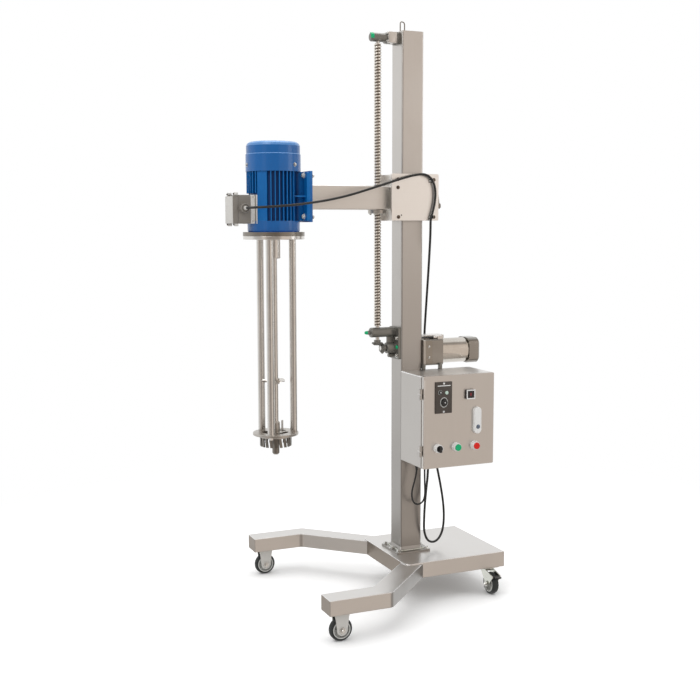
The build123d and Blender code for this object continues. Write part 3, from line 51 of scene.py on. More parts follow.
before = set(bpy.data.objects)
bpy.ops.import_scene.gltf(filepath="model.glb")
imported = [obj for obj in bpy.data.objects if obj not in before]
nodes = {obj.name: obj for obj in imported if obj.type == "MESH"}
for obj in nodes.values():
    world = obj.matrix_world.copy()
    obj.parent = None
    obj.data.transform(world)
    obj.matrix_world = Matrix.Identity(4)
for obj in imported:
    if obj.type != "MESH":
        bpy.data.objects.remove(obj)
finishes = {}
groups = {}

UP, DOWN = (0, 0, 1), (0, 0, -1)
LEFT, RIGHT = (-1, 0, 0), (1, 0, 0)
NEAR, FAR = (0, -1, 0), (0, 1, 0)
SCREW_X = -0.112
MOTOR_X = -0.484
MERGE_DISTANCE = 1e-6
SHARP_ANGLE = math.radians(32)


# Small helpers for meshes


def show(name, mesh, look=None, body=None):
    """A finished mesh as an object at the origin, in its finish and on its body."""
    piece = bpy.data.objects.new(name, mesh)
    bpy.context.scene.collection.objects.link(piece)
    if look is not None:
        mesh.materials.append(finishes[look])
    if body is not None:
        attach(piece, body)
    return piece


def close(name, bm, look=None, body=None):
    """Closes a bmesh into a piece with outward faces, smooth except at its sharp edges."""
    bmesh.ops.remove_doubles(bm, verts=bm.verts, dist=MERGE_DISTANCE)
    bmesh.ops.recalc_face_normals(bm, faces=bm.faces)
    for face in bm.faces:
        face.smooth = True
    for edge in bm.edges:
        if len(edge.link_faces) == 2 and edge.calc_face_angle(0) > SHARP_ANGLE:
            edge.smooth = False
    mesh = bpy.data.meshes.new(name)
    bm.to_mesh(mesh)
    bm.free()
    return show(name, mesh, look, body)


def axis_frame(centre, axis):
    """Turns local +Z to an axis and moves the local origin to a centre."""
    turn = Vector(UP).rotation_difference(Vector(axis)).to_matrix().to_4x4()
    return Matrix.Translation(centre) @ turn


def add_turned(bm, profile, centre, axis=UP, segments=48):
    """A turned piece from (radius, height) points. Ends at radius 0 close in a point."""
    place = axis_frame(centre, axis)
    rings = []
    for radius, height in profile:
        ring = []
        for step in range(segments if radius > MERGE_DISTANCE else 1):
            angle = 2 * math.pi * step / segments
            spot = Vector((radius * math.cos(angle), radius * math.sin(angle), height))
            ring.append(bm.verts.new(place @ spot))
        rings.append(ring)
    for low, high in zip(rings, rings[1:]):
        for step in range(segments):
            after = (step + 1) % segments
            below = (low[step % len(low)], low[after % len(low)])
            above = (high[after % len(high)], high[step % len(high)])
            corners = list(dict.fromkeys(below + above))
            if len(corners) > 2:
                bm.faces.new(corners)


def turned(name, profile, centre, axis=UP, segments=48, look=None, body=None):
    bm = bmesh.new()
    add_turned(bm, profile, centre, axis, segments)
    return close(name, bm, look, body)


def add_block(bm, low, high, bevel=0.0005):
    """A rectangular piece between two corners, with rounded edges."""
    low, high = Vector(low), Vector(high)
    made = bmesh.ops.create_cube(bm, size=1.0)["verts"]
    bmesh.ops.scale(bm, vec=high - low, verts=made)
    bmesh.ops.translate(bm, vec=(low + high) / 2, verts=made)
    edges = list({e for v in made for e in v.link_edges})
    bmesh.ops.bevel(bm, geom=edges, offset=bevel, segments=2, profile=0.5, affect="EDGES")


def block(name, low, high, bevel, look, body):
    bm = bmesh.new()
    add_block(bm, low, high, bevel)
    return close(name, bm, look, body)


def settle(piece):
    """Turns a curve, or a piece with live modifiers, into a plain mesh of the same name."""
    bpy.context.view_layer.update()
    graph = bpy.context.evaluated_depsgraph_get()
    mesh = bpy.data.meshes.new_from_object(piece.evaluated_get(graph))
    name = piece.name
    bpy.data.objects.remove(piece)
    return show(name, mesh)


def line_through(name, kind, route):
    """A 3-D curve object with one spline along a route's points."""
    data = bpy.data.curves.new(name, "CURVE")
    data.dimensions = "3D"
    line = data.splines.new(kind)
    line.points.add(len(route) - 1)
    for point, place in zip(line.points, route):
        point.co = (*place, 1.0)
    curve = bpy.data.objects.new(name, data)
    bpy.context.scene.collection.objects.link(curve)
    return curve, line


# Node trees


def is_socket(value):
    return isinstance(value, bpy.types.NodeSocket)


def add_node(tree, kind, links=None, **settings):
    """Adds a node. links gives its inputs by name or number: a socket is joined, a value is set."""
    made = tree.nodes.new(kind)
    for label, value in settings.items():
        setattr(made, label, value)
    for key, value in (links or {}).items():
        if is_socket(value):
            tree.links.new(value, made.inputs[key])
        else:
            made.inputs[key].default_value = value
    return made


def put(tree, kind, links=None, **settings):
    """Adds a node and gives its first output."""
    return add_node(tree, kind, links, **settings).outputs[0]


def calc(tree, operation, first, second=0.0, third=0.0, **settings):
    return put(tree, "ShaderNodeMath", {0: first, 1: second, 2: third}, operation=operation, **settings)


def vector_calc(tree, operation, first, second=(0.0, 0.0, 0.0)):
    made = add_node(tree, "ShaderNodeVectorMath", {0: first, 1: second}, operation=operation)
    return made.outputs["Value" if operation in ("DOT_PRODUCT", "LENGTH") else "Vector"]


def span(tree, value, low, high, start=0.0, end=1.0, **settings):
    """Maps what lies between low and high onto start to end."""
    return put(tree, "ShaderNodeMapRange", {0: value, 1: low, 2: high, 3: start, 4: end}, **settings)


def split(tree, value):
    return add_node(tree, "ShaderNodeSeparateXYZ", {0: value}).outputs


def join_xyz(tree, x=0.0, y=0.0, z=0.0):
    return put(tree, "ShaderNodeCombineXYZ", {0: x, 1: y, 2: z})


def mix_number(tree, share, first, second):
    return put(tree, "ShaderNodeMix", {0: share, 2: first, 3: second}, data_type="FLOAT")


def mix_colour(tree, share, first, second):
    """Mixes two colours, each a socket or a fixed colour."""
    pair = {6: first, 7: second}
    links = {key: value if is_socket(value) else (*value, 1.0) for key, value in pair.items()}
    return add_node(tree, "ShaderNodeMix", {0: share, **links}, data_type="RGBA").outputs[2]


SOCKET_KINDS = {float: "Float", int: "Int", tuple: "Vector"}


def new_group(name, kind, inputs, outputs):
    """A node group and its sockets. An input is given by its default or, as text, by its kind of socket."""
    tree = bpy.data.node_groups.new(name, kind)
    for label, value in inputs.items():
        given = isinstance(value, str)
        socket_type = "NodeSocket" + (value if given else SOCKET_KINDS[type(value)])
        socket = tree.interface.new_socket(label, in_out="INPUT", socket_type=socket_type)
        if not given:
            socket.default_value = value
    for label, value in outputs.items():
        tree.interface.new_socket(label, in_out="OUTPUT", socket_type="NodeSocket" + value)
    return tree, tree.nodes.new("NodeGroupInput").outputs, tree.nodes.new("NodeGroupOutput").inputs


BROAD_SCALE = (0.13, 0.13, 0.13)
BROAD_SHARE = 0.45
PATCH_RANGE = (0.35, 0.68)
EDGE_COSINES = (0.995, 0.8)


def grain_group():
    """Directional brushing: a fine grain, and slow patches where hands and light have dulled it."""
    tree, ins, outs = new_group(
        "Surface grain",
        "ShaderNodeTree",
        {"Vector": "Vector", "Stretch": (5.0, 500.0, 500.0), "Patch scale": 6.0},
        {"Grain": "Float", "Patches": "Float"},
    )
    stretched = vector_calc(tree, "MULTIPLY", ins["Vector"], ins["Stretch"])
    fine = put(tree, "ShaderNodeTexNoise", {"Vector": stretched, "Scale": 1.0, "Detail": 4.0})
    coarse = vector_calc(tree, "MULTIPLY", stretched, BROAD_SCALE)
    broad = put(tree, "ShaderNodeTexNoise", {"Vector": coarse, "Scale": 1.0, "Detail": 2.0})
    mixed = calc(tree, "MULTIPLY_ADD", broad, BROAD_SHARE, calc(tree, "MULTIPLY", fine, 1 - BROAD_SHARE))
    tree.links.new(mixed, outs["Grain"])
    slow_inputs = {"Vector": ins["Vector"], "Scale": ins["Patch scale"], "Detail": 5.0, "Roughness": 0.6}
    slow = put(tree, "ShaderNodeTexNoise", slow_inputs)
    tree.links.new(span(tree, slow, *PATCH_RANGE), outs["Patches"])
    return tree


def edge_group():
    """Rounded-looking edges, and a mask of where an edge is."""
    tree, ins, outs = new_group(
        "Soft edges", "ShaderNodeTree", {"Radius": 0.0008}, {"Normal": "Vector", "Edge": "Float"}
    )
    bevel = put(tree, "ShaderNodeBevel", {"Radius": ins["Radius"]}, samples=4)
    flat = add_node(tree, "ShaderNodeNewGeometry").outputs["Normal"]
    tree.links.new(bevel, outs["Normal"])
    tree.links.new(span(tree, vector_calc(tree, "DOT_PRODUCT", bevel, flat), *EDGE_COSINES), outs["Edge"])
    return tree


def skin_group():
    """The pitted, orange-peel skin of castings, mouldings and paint."""
    tree, ins, outs = new_group(
        "Cast skin", "ShaderNodeTree", {"Vector": "Vector", "Scale": 400.0, "Pits": 0.5}, {"Height": "Float"}
    )
    sized = {"Vector": ins["Vector"], "Scale": ins["Scale"]}
    lumps = put(tree, "ShaderNodeTexNoise", {**sized, "Detail": 3.0})
    cells = add_node(tree, "ShaderNodeTexVoronoi", sized)
    pits = calc(tree, "MULTIPLY", cells.outputs["Distance"], ins["Pits"])
    tree.links.new(calc(tree, "SUBTRACT", lumps, pits), outs["Height"])
    return tree


def effect(tree, name, links):
    """Places an effect's node group, built the first time that it is asked for."""
    makers = {"grain": grain_group, "edge": edge_group, "skin": skin_group}
    if name not in groups:
        groups[name] = makers[name]()
    return add_node(tree, "ShaderNodeGroup", links, node_tree=groups[name]).outputs


ALONG_X = (4.0, 420.0, 420.0)
ALONG_Y = (420.0, 4.0, 420.0)
ALONG_Z = (420.0, 420.0, 4.0)
TURNED_Z = (4.0, 4.0, 700.0)
NO_GRAIN = (90.0, 90.0, 90.0)
GRAIN_DEPTH = 0.00002
# Where the painted shade by facing, the painted top light and the painted brow highlight fall.
FACING_COSINES = (0.75, 0.95)
TOP_SLOPES = (0.1, 0.6)
BROW_SLOPES = (0.15, 0.5)
BROW_GAIN = 4.0
FOLD_LOW, FOLD_HIGH = 0.12, 0.98
COAT_ROUGHNESS = 0.15
BLACK = (0.0, 0.0, 0.0)
WHITE = (1.0, 1.0, 1.0)
LIT_STEEL = (0.9, 0.9, 0.9)
WARM_SHADE = (0.14, 0.095, 0.055)


def finish(
    name, colour, shade, metallic=1.0, roughness=(0.28, 0.42), stretch=NO_GRAIN, edge=0.35,
    edge_colour=(0.9, 0.9, 0.9), rounding=0.0008, coat=0.0, skin=0.0, skin_scale=500.0, patch_scale=7.0,
    specular=0.5, core=None, top=None, shade_toward_floor=None, dim=(), zone=None, brow_highlight=0.0,
):
    """A procedural material: two tones along the grain, patchy gloss, rubbed edges that are partly wear and
    partly painted highlight, and a skin.

    core paints shade on what lies near an upright axis, as in thread roots and between fins: its x, y, inner
    radius, outer radius and colour.
    top lights what faces up: its share and colour.
    fall paints shade that deepens toward the floor: upper height, lower height and share.
    dim shades what faces some ways: each a direction, a share and a colour.
    zone darkens all outside two X places: low, high and share.
    brow paints a white highlight on the edges between a top and a side, and on the narrow faces that slope
    between them.
    """
    material = bpy.data.materials.new(name)
    material.use_nodes = True
    tree = material.node_tree
    tree.nodes.clear()
    place = add_node(tree, "ShaderNodeTexCoord").outputs["Object"]
    grain = effect(tree, "grain", {"Vector": place, "Stretch": stretch, "Patch scale": patch_scale})
    rim = effect(tree, "edge", {"Radius": rounding})
    blend = calc(tree, "MULTIPLY_ADD", grain["Patches"], 0.5, calc(tree, "MULTIPLY", grain["Grain"], 0.5))
    tones = mix_colour(tree, blend, shade, colour)
    # Rubbed edges: partly wear, partly a painted highlight in a lighter edge colour.
    rubbed_and_highlit = calc(tree, "MULTIPLY", rim["Edge"], calc(tree, "MULTIPLY", grain["Patches"], edge))
    final = mix_colour(tree, rubbed_and_highlit, tones, edge_colour)
    spot = split(tree, place)
    outward = add_node(tree, "ShaderNodeNewGeometry").outputs["Normal"]
    # Painted shade, deepening toward the floor.
    if shade_toward_floor is not None:
        upper, lower, dimmed = shade_toward_floor
        final = mix_colour(tree, span(tree, spot[2], upper, lower, 0.0, dimmed), final, BLACK)
    # Painted shade on faces turned some ways.
    for direction, share, painted_facing_shade in dim:
        facing = vector_calc(tree, "DOT_PRODUCT", outward, direction)
        turned_to = span(tree, facing, *FACING_COSINES, 0.0, share)
        final = mix_colour(tree, turned_to, final, painted_facing_shade)
    if zone is not None:
        low, high, share = zone
        outside = calc(
            tree, "MAXIMUM", calc(tree, "LESS_THAN", spot[0], low), calc(tree, "GREATER_THAN", spot[0], high)
        )
        final = mix_colour(tree, calc(tree, "MULTIPLY", outside, share), final, BLACK)
    slope = split(tree, outward)[2]
    # Painted light on what faces up.
    if top is not None:
        share, painted_top_light = top
        final = mix_colour(tree, span(tree, slope, *TOP_SLOPES, 0.0, share), final, painted_top_light)
    # Painted white highlight on the edges between top and side and on sloping folds.
    if brow_highlight > 0:
        raised = span(tree, split(tree, rim["Normal"])[2], *BROW_SLOPES, 0.0, brow_highlight)
        strong = calc(tree, "MULTIPLY", rim["Edge"], BROW_GAIN, use_clamp=True)
        steep = calc(tree, "GREATER_THAN", slope, FOLD_LOW)
        folded = calc(tree, "MULTIPLY", steep, calc(tree, "LESS_THAN", slope, FOLD_HIGH))
        mask = calc(tree, "MAXIMUM", calc(tree, "MULTIPLY", raised, strong), folded)
        final = mix_colour(tree, mask, final, WHITE)
    # Painted shade near an upright axis: in the thread's roots and between the fins.
    if core is not None:
        x, y, inner, outer, core_colour = core
        off_axis = vector_calc(tree, "ADD", place, (-x, -y, 0.0))
        reach = vector_calc(tree, "LENGTH", vector_calc(tree, "MULTIPLY", off_axis, (1.0, 1.0, 0.0)))
        final = mix_colour(tree, span(tree, reach, inner, outer), core_colour, final)
    grained = {"Height": grain["Grain"], "Distance": GRAIN_DEPTH, "Strength": 1.0, "Normal": rim["Normal"]}
    normal = put(tree, "ShaderNodeBump", grained)
    if skin > 0:
        pits = effect(tree, "skin", {"Vector": place, "Scale": skin_scale})
        pitted = {"Height": pits[0], "Distance": skin, "Strength": 1.0, "Normal": normal}
        normal = put(tree, "ShaderNodeBump", pitted)
    surface = {
        "Base Color": final,
        "Roughness": span(tree, grain["Patches"], 0.0, 1.0, *roughness),
        "Normal": normal,
        "Metallic": metallic,
        "Coat Weight": coat,
        "Coat Roughness": COAT_ROUGHNESS,
        "Specular IOR Level": specular,
    }
    add_node(tree, "ShaderNodeOutputMaterial", {0: put(tree, "ShaderNodeBsdfPrincipled", surface)})
    return material


def glow(name, colour, strength):
    """A lit window: a dim even glow behind a glossy pane."""
    material = finish(name, colour, colour, metallic=0.0, roughness=(0.08, 0.2), edge=0.0, coat=0.5)
    shader = next(n for n in material.node_tree.nodes if n.type == "BSDF_PRINCIPLED")
    shader.inputs["Emission Color"].default_value = (*colour, 1.0)
    shader.inputs["Emission Strength"].default_value = strength
    return material


def shaded(colour, share):
    return tuple(share * value for value in colour)


def metals(colours):
    """The finishes of bare steel, castings and plated parts."""
    steel, bright, dark = tuple(colours.stainless), tuple(colours.machined), tuple(colours.casting)
    sheet = (steel, shaded(steel, 0.9))
    bar = (bright, shaded(bright, 0.78))
    return dict(
        # Base and cabinet: painted top light, painted white edge highlights and painted shade on faces turned
        # left; the base's faces turned right and near get painted shade too.
        base_sheet=finish(
            "brushed base", *sheet, stretch=ALONG_X, rounding=0.004, edge=0.3, top=(0.33, LIT_STEEL),
            brow_highlight=1.0, dim=(((-1.0, 0.0, 0.0), 0.75, WARM_SHADE), ((0.707, -0.707, 0.0), 0.42, BLACK)),
        ),
        box_sheet=finish(
            "brushed cabinet", *sheet, stretch=ALONG_X, rounding=0.003, edge=0.3, top=(0.35, LIT_STEEL),
            brow_highlight=1.0, dim=(((-1.0, 0.0, 0.0), 0.17, BLACK),),
        ),
        sheet_along_z=finish("brushed sheet along Z", *sheet, stretch=ALONG_Z, rounding=0.0015, edge=0.6),
        # The column carries painted shade that deepens toward the floor.
        column_sheet=finish(
            "brushed column", *sheet, stretch=ALONG_Z, rounding=0.0015, edge=0.6, shade_toward_floor=(1.65, 0.45, 0.4)
        ),
        # Painted light on what faces up.
        plate_light=finish(
            "fine ground plate", bright, steel, roughness=(0.32, 0.46), stretch=ALONG_X, rounding=0.001,
            top=(0.5, LIT_STEEL),
        ),
        plate_white=finish(
            "bead blasted plate", (0.92, 0.9, 0.87), (0.84, 0.82, 0.79), roughness=(0.34, 0.5),
            stretch=ALONG_X, rounding=0.001,
        ),
        plate_dull=finish("dull turned plate", (0.54, 0.51, 0.47), (0.42, 0.395, 0.36), stretch=TURNED_Z),
        turned_bright=finish("turned bar", *bar, roughness=(0.16, 0.26), stretch=TURNED_Z),
        cast_bright=finish(
            "polished casting", (0.36, 0.33, 0.29), (0.25, 0.23, 0.2), roughness=(0.14, 0.3),
            stretch=ALONG_X, skin=0.0001, skin_scale=90.0,
        ),
        barrel_bright=finish(
            "polished barrel", (0.72, 0.69, 0.64), (0.5, 0.46, 0.41), roughness=(0.1, 0.2),
            stretch=ALONG_X, zone=(0.12, 0.2245, 0.5),
        ),
        flange_steel=finish(
            "dark ground flange", (0.3, 0.27, 0.235), (0.2, 0.18, 0.155), roughness=(0.25, 0.4),
        ),
        # The cage and rotor are darkened to stand for the shade under the head plate: painted shade.
        cage_in_painted_shade=finish(
            "cage steel in painted shade", (0.31, 0.285, 0.255), (0.19, 0.175, 0.155), roughness=(0.3, 0.45),
            stretch=TURNED_Z,
        ),
        zinc=finish(
            "bright zinc", (0.74, 0.75, 0.69), (0.56, 0.57, 0.52), roughness=(0.25, 0.4), patch_scale=40.0,
        ),
        bolt_dark=finish(
            "dark oxide bolt", (0.13, 0.09, 0.06), (0.08, 0.06, 0.045), roughness=(0.3, 0.45),
            patch_scale=90.0,
        ),
        screw_zinc=finish(
            "screw zinc", (0.75, 0.75, 0.73), (0.55, 0.55, 0.53), roughness=(0.2, 0.32), patch_scale=90.0,
        ),
        # The thread's roots are darker: painted shade.
        thread_steel=finish(
            "rolled thread", (0.92, 0.88, 0.82), (0.8, 0.76, 0.7), roughness=(0.25, 0.38), edge=0.0,
            stretch=TURNED_Z, core=(SCREW_X, 0.0, 0.0098, 0.0116, (0.17, 0.14, 0.11)),
        ),
        bronze=finish("bronze", (0.55, 0.38, 0.18), (0.42, 0.28, 0.12), stretch=TURNED_Z),
        winding=finish("enamelled copper", (0.45, 0.2, 0.08), (0.3, 0.12, 0.05), stretch=TURNED_Z, edge=0.0),
        cast_dark=finish(
            "dark casting", dark, shaded(dark, 0.6), metallic=0.6, roughness=(0.24, 0.38), edge=0.6,
            edge_colour=(0.4, 0.39, 0.36), skin=0.0003, skin_scale=350.0,
        ),
        lever_grey=finish(
            "lever casting", (0.3, 0.28, 0.25), (0.22, 0.2, 0.18), roughness=(0.3, 0.45), skin=0.0002,
            skin_scale=300.0,
        ),
        lock_grey=finish(
            "lock barrel", (0.2, 0.25, 0.34), (0.15, 0.19, 0.26), roughness=(0.3, 0.45), stretch=ALONG_Y
        ),
    )


def matt(name, colour, shade, **settings):
    """A finish of paint, plastic or rubber."""
    return finish(name, colour, shade, metallic=0.0, **settings)


def coverings(colours):
    """The finishes of paint, plastic and rubber."""
    blue, black = tuple(colours.motor_paint), tuple(colours.cable)
    paint = dict(roughness=(0.32, 0.45), skin=0.00003, skin_scale=700.0, specular=0.3)
    # Lighter edges of black mouldings and tyres: partly wear, partly painted highlight.
    rubbed_and_highlit_black = (0.12, 0.12, 0.12)
    return dict(
        # Painted light on what faces up, and lighter blue edges that are partly painted highlight.
        blue_paint=matt(
            "blue machine paint", blue, shaded(blue, 0.8), edge=0.3, coat=0.5, edge_colour=(0.12, 0.33, 0.7),
            top=(1.0, (0.16, 0.38, 0.76)), **paint,
        ),
        # Painted shade between the fins, and lighter fin edges that are partly painted highlight.
        blue_fins=matt(
            "blue paint on fins", (0.002, 0.17, 0.5), blue, edge=0.5, edge_colour=(0.16, 0.4, 0.78),
            core=(MOTOR_X, 0.0, 0.0775, 0.0865, (0.0, 0.045, 0.18)), **paint,
        ),
        box_light=matt(
            "light box paint", (0.75, 0.73, 0.69), (0.66, 0.64, 0.6), roughness=(0.35, 0.5), skin=0.00004,
            edge=0.2,
        ),
        box_grey=matt(
            "terminal box casting", (0.27, 0.245, 0.215), (0.22, 0.2, 0.175), roughness=(0.4, 0.55),
            skin=0.0001, skin_scale=300.0, edge=0.2,
        ),
        lamp_pale=matt(
            "pale lamp lens", (0.62, 0.78, 0.68), (0.54, 0.7, 0.6), roughness=(0.12, 0.2), coat=0.5, edge=0.0
        ),
        black_plastic=matt(
            "black moulding", (0.02, 0.02, 0.02), (0.012, 0.012, 0.012), roughness=(0.35, 0.5), edge=0.15,
            edge_colour=rubbed_and_highlit_black, skin=0.00003,
        ),
        cable_black=matt(
            "cable sheath", black, shaded(black, 0.6), roughness=(0.4, 0.55), edge=0.0, skin=0.00002,
            skin_scale=900.0,
        ),
        tyre=matt(
            "tyre rubber", (0.035, 0.04, 0.04), (0.02, 0.023, 0.023), roughness=(0.55, 0.75), edge=0.2,
            edge_colour=rubbed_and_highlit_black, skin=0.00005, patch_scale=30.0,
        ),
        wheel_grey=matt(
            "wheel moulding", (0.58, 0.58, 0.55), (0.46, 0.46, 0.44), roughness=(0.35, 0.5), skin=0.00003
        ),
        lip_white=matt(
            "wheel lip", (0.8, 0.8, 0.77), (0.7, 0.7, 0.67), roughness=(0.3, 0.45), patch_scale=60.0
        ),
        white_plastic=matt(
            "white moulding", (0.9, 0.89, 0.87), (0.84, 0.83, 0.81), roughness=(0.25, 0.38), edge=0.1,
            skin=0.00002, coat=0.2,
        ),
        device_grey=matt("device moulding", (0.2, 0.21, 0.22), (0.16, 0.17, 0.18), skin=0.00003),
        panel_dark=matt(
            "dark control plate", (0.075, 0.06, 0.05), (0.06, 0.048, 0.04), roughness=(0.4, 0.5), edge=0.2
        ),
        green=matt("green moulding", (0.008, 0.5, 0.2), (0.006, 0.42, 0.17), edge=0.1, specular=0.3),
        red=matt("red moulding", (0.85, 0.02, 0.012), (0.7, 0.015, 0.01), edge=0.1, specular=0.3),
        window=matt("display window", (0.02, 0.012, 0.014), (0.014, 0.01, 0.012), roughness=(0.1, 0.2)),
        red_light=glow("display light", (0.16, 0.004, 0.012), 0.3),
    )


# Sizes and colours that a user would change


class StageSettings(bpy.types.PropertyGroup):
    floor_colour: bpy.props.FloatVectorProperty(
        name="Floor", description="Colour of the floor", default=(0.86, 0.86, 0.86), subtype="COLOR",
        min=0, max=1,
    )
    key_power: bpy.props.FloatProperty(
        name="Key light", description="Power of the large light above the left", default=34.0, min=0
    )
    fill_strength: bpy.props.FloatProperty(
        name="Fill", description="Strength of the room's own light", default=0.62, min=0
    )
    floor_lift: bpy.props.FloatProperty(
        name="Floor lift", description="How far the camera sees the floor lifted to white", default=0.5,
        min=0, max=1,
    )


class ColourSettings(bpy.types.PropertyGroup):
    stainless: bpy.props.FloatVectorProperty(
        name="Stainless", description="Brushed sheet", default=(0.63, 0.605, 0.575), subtype="COLOR",
        min=0, max=1,
    )
    machined: bpy.props.FloatVectorProperty(
        name="Machined steel", description="Ground and turned steel", default=(0.76, 0.735, 0.7),
        subtype="COLOR", min=0, max=1,
    )
    motor_paint: bpy.props.FloatVectorProperty(
        name="Motor paint", description="Paint of the mixer motor", default=(0.0, 0.13, 0.43),
        subtype="COLOR", min=0, max=1,
    )
    casting: bpy.props.FloatVectorProperty(
        name="Castings", description="Bearing arms and gears", default=(0.27, 0.26, 0.235),
        subtype="COLOR", min=0, max=1,
    )
    cable: bpy.props.FloatVectorProperty(
        name="Cable", description="Cable sheath", default=(0.018, 0.018, 0.018), subtype="COLOR", min=0, max=1
    )


class CordSettings(bpy.types.PropertyGroup):
    motor_cable: bpy.props.FloatProperty(
        name="Motor cable", description="Diameter of the motor cable", default=0.008, unit="LENGTH", min=0.002
    )
    small_cable: bpy.props.FloatProperty(
        name="Small cable", description="Diameter of the short loop", default=0.006, unit="LENGTH", min=0.002
    )
    lead: bpy.props.FloatProperty(
        name="Gearmotor lead", description="Diameter of the gearmotor's lead", default=0.005,
        unit="LENGTH", min=0.002,
    )
    relief_length: bpy.props.FloatProperty(
        name="Strain relief", description="Length of a gland's tapered sleeve", default=0.014,
        unit="LENGTH", min=0.004,
    )


class ScrewSettings(bpy.types.PropertyGroup):
    pitch: bpy.props.FloatProperty(
        name="Pitch", description="Rise of the thread in one turn", default=0.01, unit="LENGTH", min=0.002
    )
    depth: bpy.props.FloatProperty(
        name="Thread depth", description="From crest to root", default=0.0027, unit="LENGTH", min=0.0005
    )
    crest: bpy.props.FloatProperty(
        name="Crest", description="Share of the pitch that is crest", default=0.5, subtype="FACTOR",
        min=0.1, max=0.9,
    )


class FastenerSettings(bpy.types.PropertyGroup):
    hex_width: bpy.props.FloatProperty(
        name="Hex head", description="Width across the corners of a hex head", default=0.015,
        unit="LENGTH", min=0.003,
    )
    cap_width: bpy.props.FloatProperty(
        name="Cap head", description="Diameter of a socket cap head", default=0.0085, unit="LENGTH", min=0.002
    )
    seed: bpy.props.IntProperty(name="Seed", description="How the heads are turned", default=4, min=0)


class WheelSettings(bpy.types.PropertyGroup):
    spokes: bpy.props.IntProperty(name="Hub ribs", description="Ribs on each side of a hub", default=8, min=3)
    tread: bpy.props.FloatProperty(
        name="Tread", description="Thickness of the rubber", default=0.0085, unit="LENGTH", min=0.002
    )


# Geometry Nodes trees


def with_tree(piece, tree, values):
    """Puts a tree on a piece and sets its inputs by socket identifier, then settles it."""
    modifier = piece.modifiers.new(tree.name, "NODES")
    modifier.node_group = tree
    sockets = {item.name: item.identifier for item in tree.interface.items_tree if item.in_out == "INPUT"}
    for label, value in values.items():
        modifier[sockets[label]] = value
    return settle(piece)


def grown(name, tree, values):
    """A piece that its tree makes from nothing."""
    return with_tree(show(name, bpy.data.meshes.new(name)), tree, values)


def geometry_group(name, sizes):
    """A Geometry Nodes tree that takes a geometry, its sizes and a material."""
    inputs = {"Geometry": "Geometry", **sizes, "Material": "Material"}
    return new_group(name, "GeometryNodeTree", inputs, {"Geometry": "Geometry"})


def close_tree(tree, ins, outs, geometry):
    """Ends a tree in Realize Instances and Set Material."""
    real = put(tree, "GeometryNodeRealizeInstances", {"Geometry": geometry})
    painted = put(tree, "GeometryNodeSetMaterial", {"Geometry": real, "Material": ins["Material"]})
    tree.links.new(painted, outs["Geometry"])
    return tree


def joined(tree, *parts):
    made = add_node(tree, "GeometryNodeJoinGeometry")
    for part in parts:
        tree.links.new(part, made.inputs[0])
    return made.outputs[0]


def moved(tree, mesh, **offset):
    """A mesh moved along x, y or z."""
    return put(tree, "GeometryNodeTransform", {"Geometry": mesh, "Translation": join_xyz(tree, **offset)})


def about_z(tree, angle):
    return put(tree, "FunctionNodeAxisAngleToRotation", {"Axis": (0.0, 0.0, 1.0), "Angle": angle})


def on_points(tree, points, piece, rotation):
    links = {"Points": points, "Instance": piece, "Rotation": rotation}
    return put(tree, "GeometryNodeInstanceOnPoints", links)


CROWN_SHARE = 0.3
CROWN_TAPER = 0.72
SOCKET_SHARE = 0.5
ROUND_SIDES = 24
HEX_SIDES = 6


def heads_tree(sides, socket):
    """Screw heads on points: a washer, a head with a crown, and a hexagon socket where asked."""
    sizes = {"Head width": 0.012, "Head height": 0.006, "Washer width": 0.018, "Washer height": 0.0015}
    tree, ins, outs = geometry_group(f"Screw heads with {sides} sides", {**sizes, "Seed": 1})

    def disc(vertices, radius, depth, middle):
        links = {"Vertices": vertices, "Radius": radius, "Depth": depth}
        return moved(tree, put(tree, "GeometryNodeMeshCylinder", links), z=middle)

    half_head = calc(tree, "MULTIPLY", ins["Head width"], 0.5)
    half_washer = calc(tree, "MULTIPLY", ins["Washer width"], 0.5)
    washer_middle = calc(tree, "MULTIPLY", ins["Washer height"], 0.5)
    washer = disc(ROUND_SIDES, half_washer, ins["Washer height"], washer_middle)
    crown_height = calc(tree, "MULTIPLY", ins["Head height"], CROWN_SHARE)
    body_height = calc(tree, "SUBTRACT", ins["Head height"], crown_height)
    body_middle = calc(tree, "MULTIPLY_ADD", body_height, 0.5, ins["Washer height"])
    body = disc(sides, half_head, body_height, body_middle)
    crown_top = calc(tree, "MULTIPLY", half_head, CROWN_TAPER)
    cone = {"Vertices": sides, "Radius Top": crown_top, "Radius Bottom": half_head, "Depth": crown_height}
    crown_low = calc(tree, "ADD", ins["Washer height"], body_height)
    head = joined(tree, moved(tree, put(tree, "GeometryNodeMeshCone", cone), z=crown_low), body)
    if socket:
        half_socket = calc(tree, "MULTIPLY", half_head, SOCKET_SHARE)
        socket_middle = calc(tree, "ADD", ins["Head height"], body_middle)
        cutter = disc(HEX_SIDES, half_socket, ins["Head height"], socket_middle)
        parts = {"Mesh 1": head, "Mesh 2": cutter}
        head = put(tree, "GeometryNodeMeshBoolean", parts, operation="DIFFERENCE")
    screw = joined(tree, head, washer)
    facing = put(tree, "GeometryNodeInputNamedAttribute", {"Name": "facing"}, data_type="FLOAT_VECTOR")
    aligned = put(tree, "FunctionNodeAlignRotationToVector", {"Vector": facing}, axis="Z")
    limits = {2: 0.0, 3: math.pi / 3, "Seed": ins["Seed"]}
    spin = add_node(tree, "FunctionNodeRandomValue", limits, data_type="FLOAT").outputs[1]
    turn_links = {"Rotation": aligned, "Rotate By": about_z(tree, spin)}
    turn = put(tree, "FunctionNodeRotateRotation", turn_links, rotation_space="LOCAL")
    return close_tree(tree, ins, outs, on_points(tree, ins["Geometry"], screw, turn))


FLANK_SHARE = 0.22
END_GAP = 1e-5


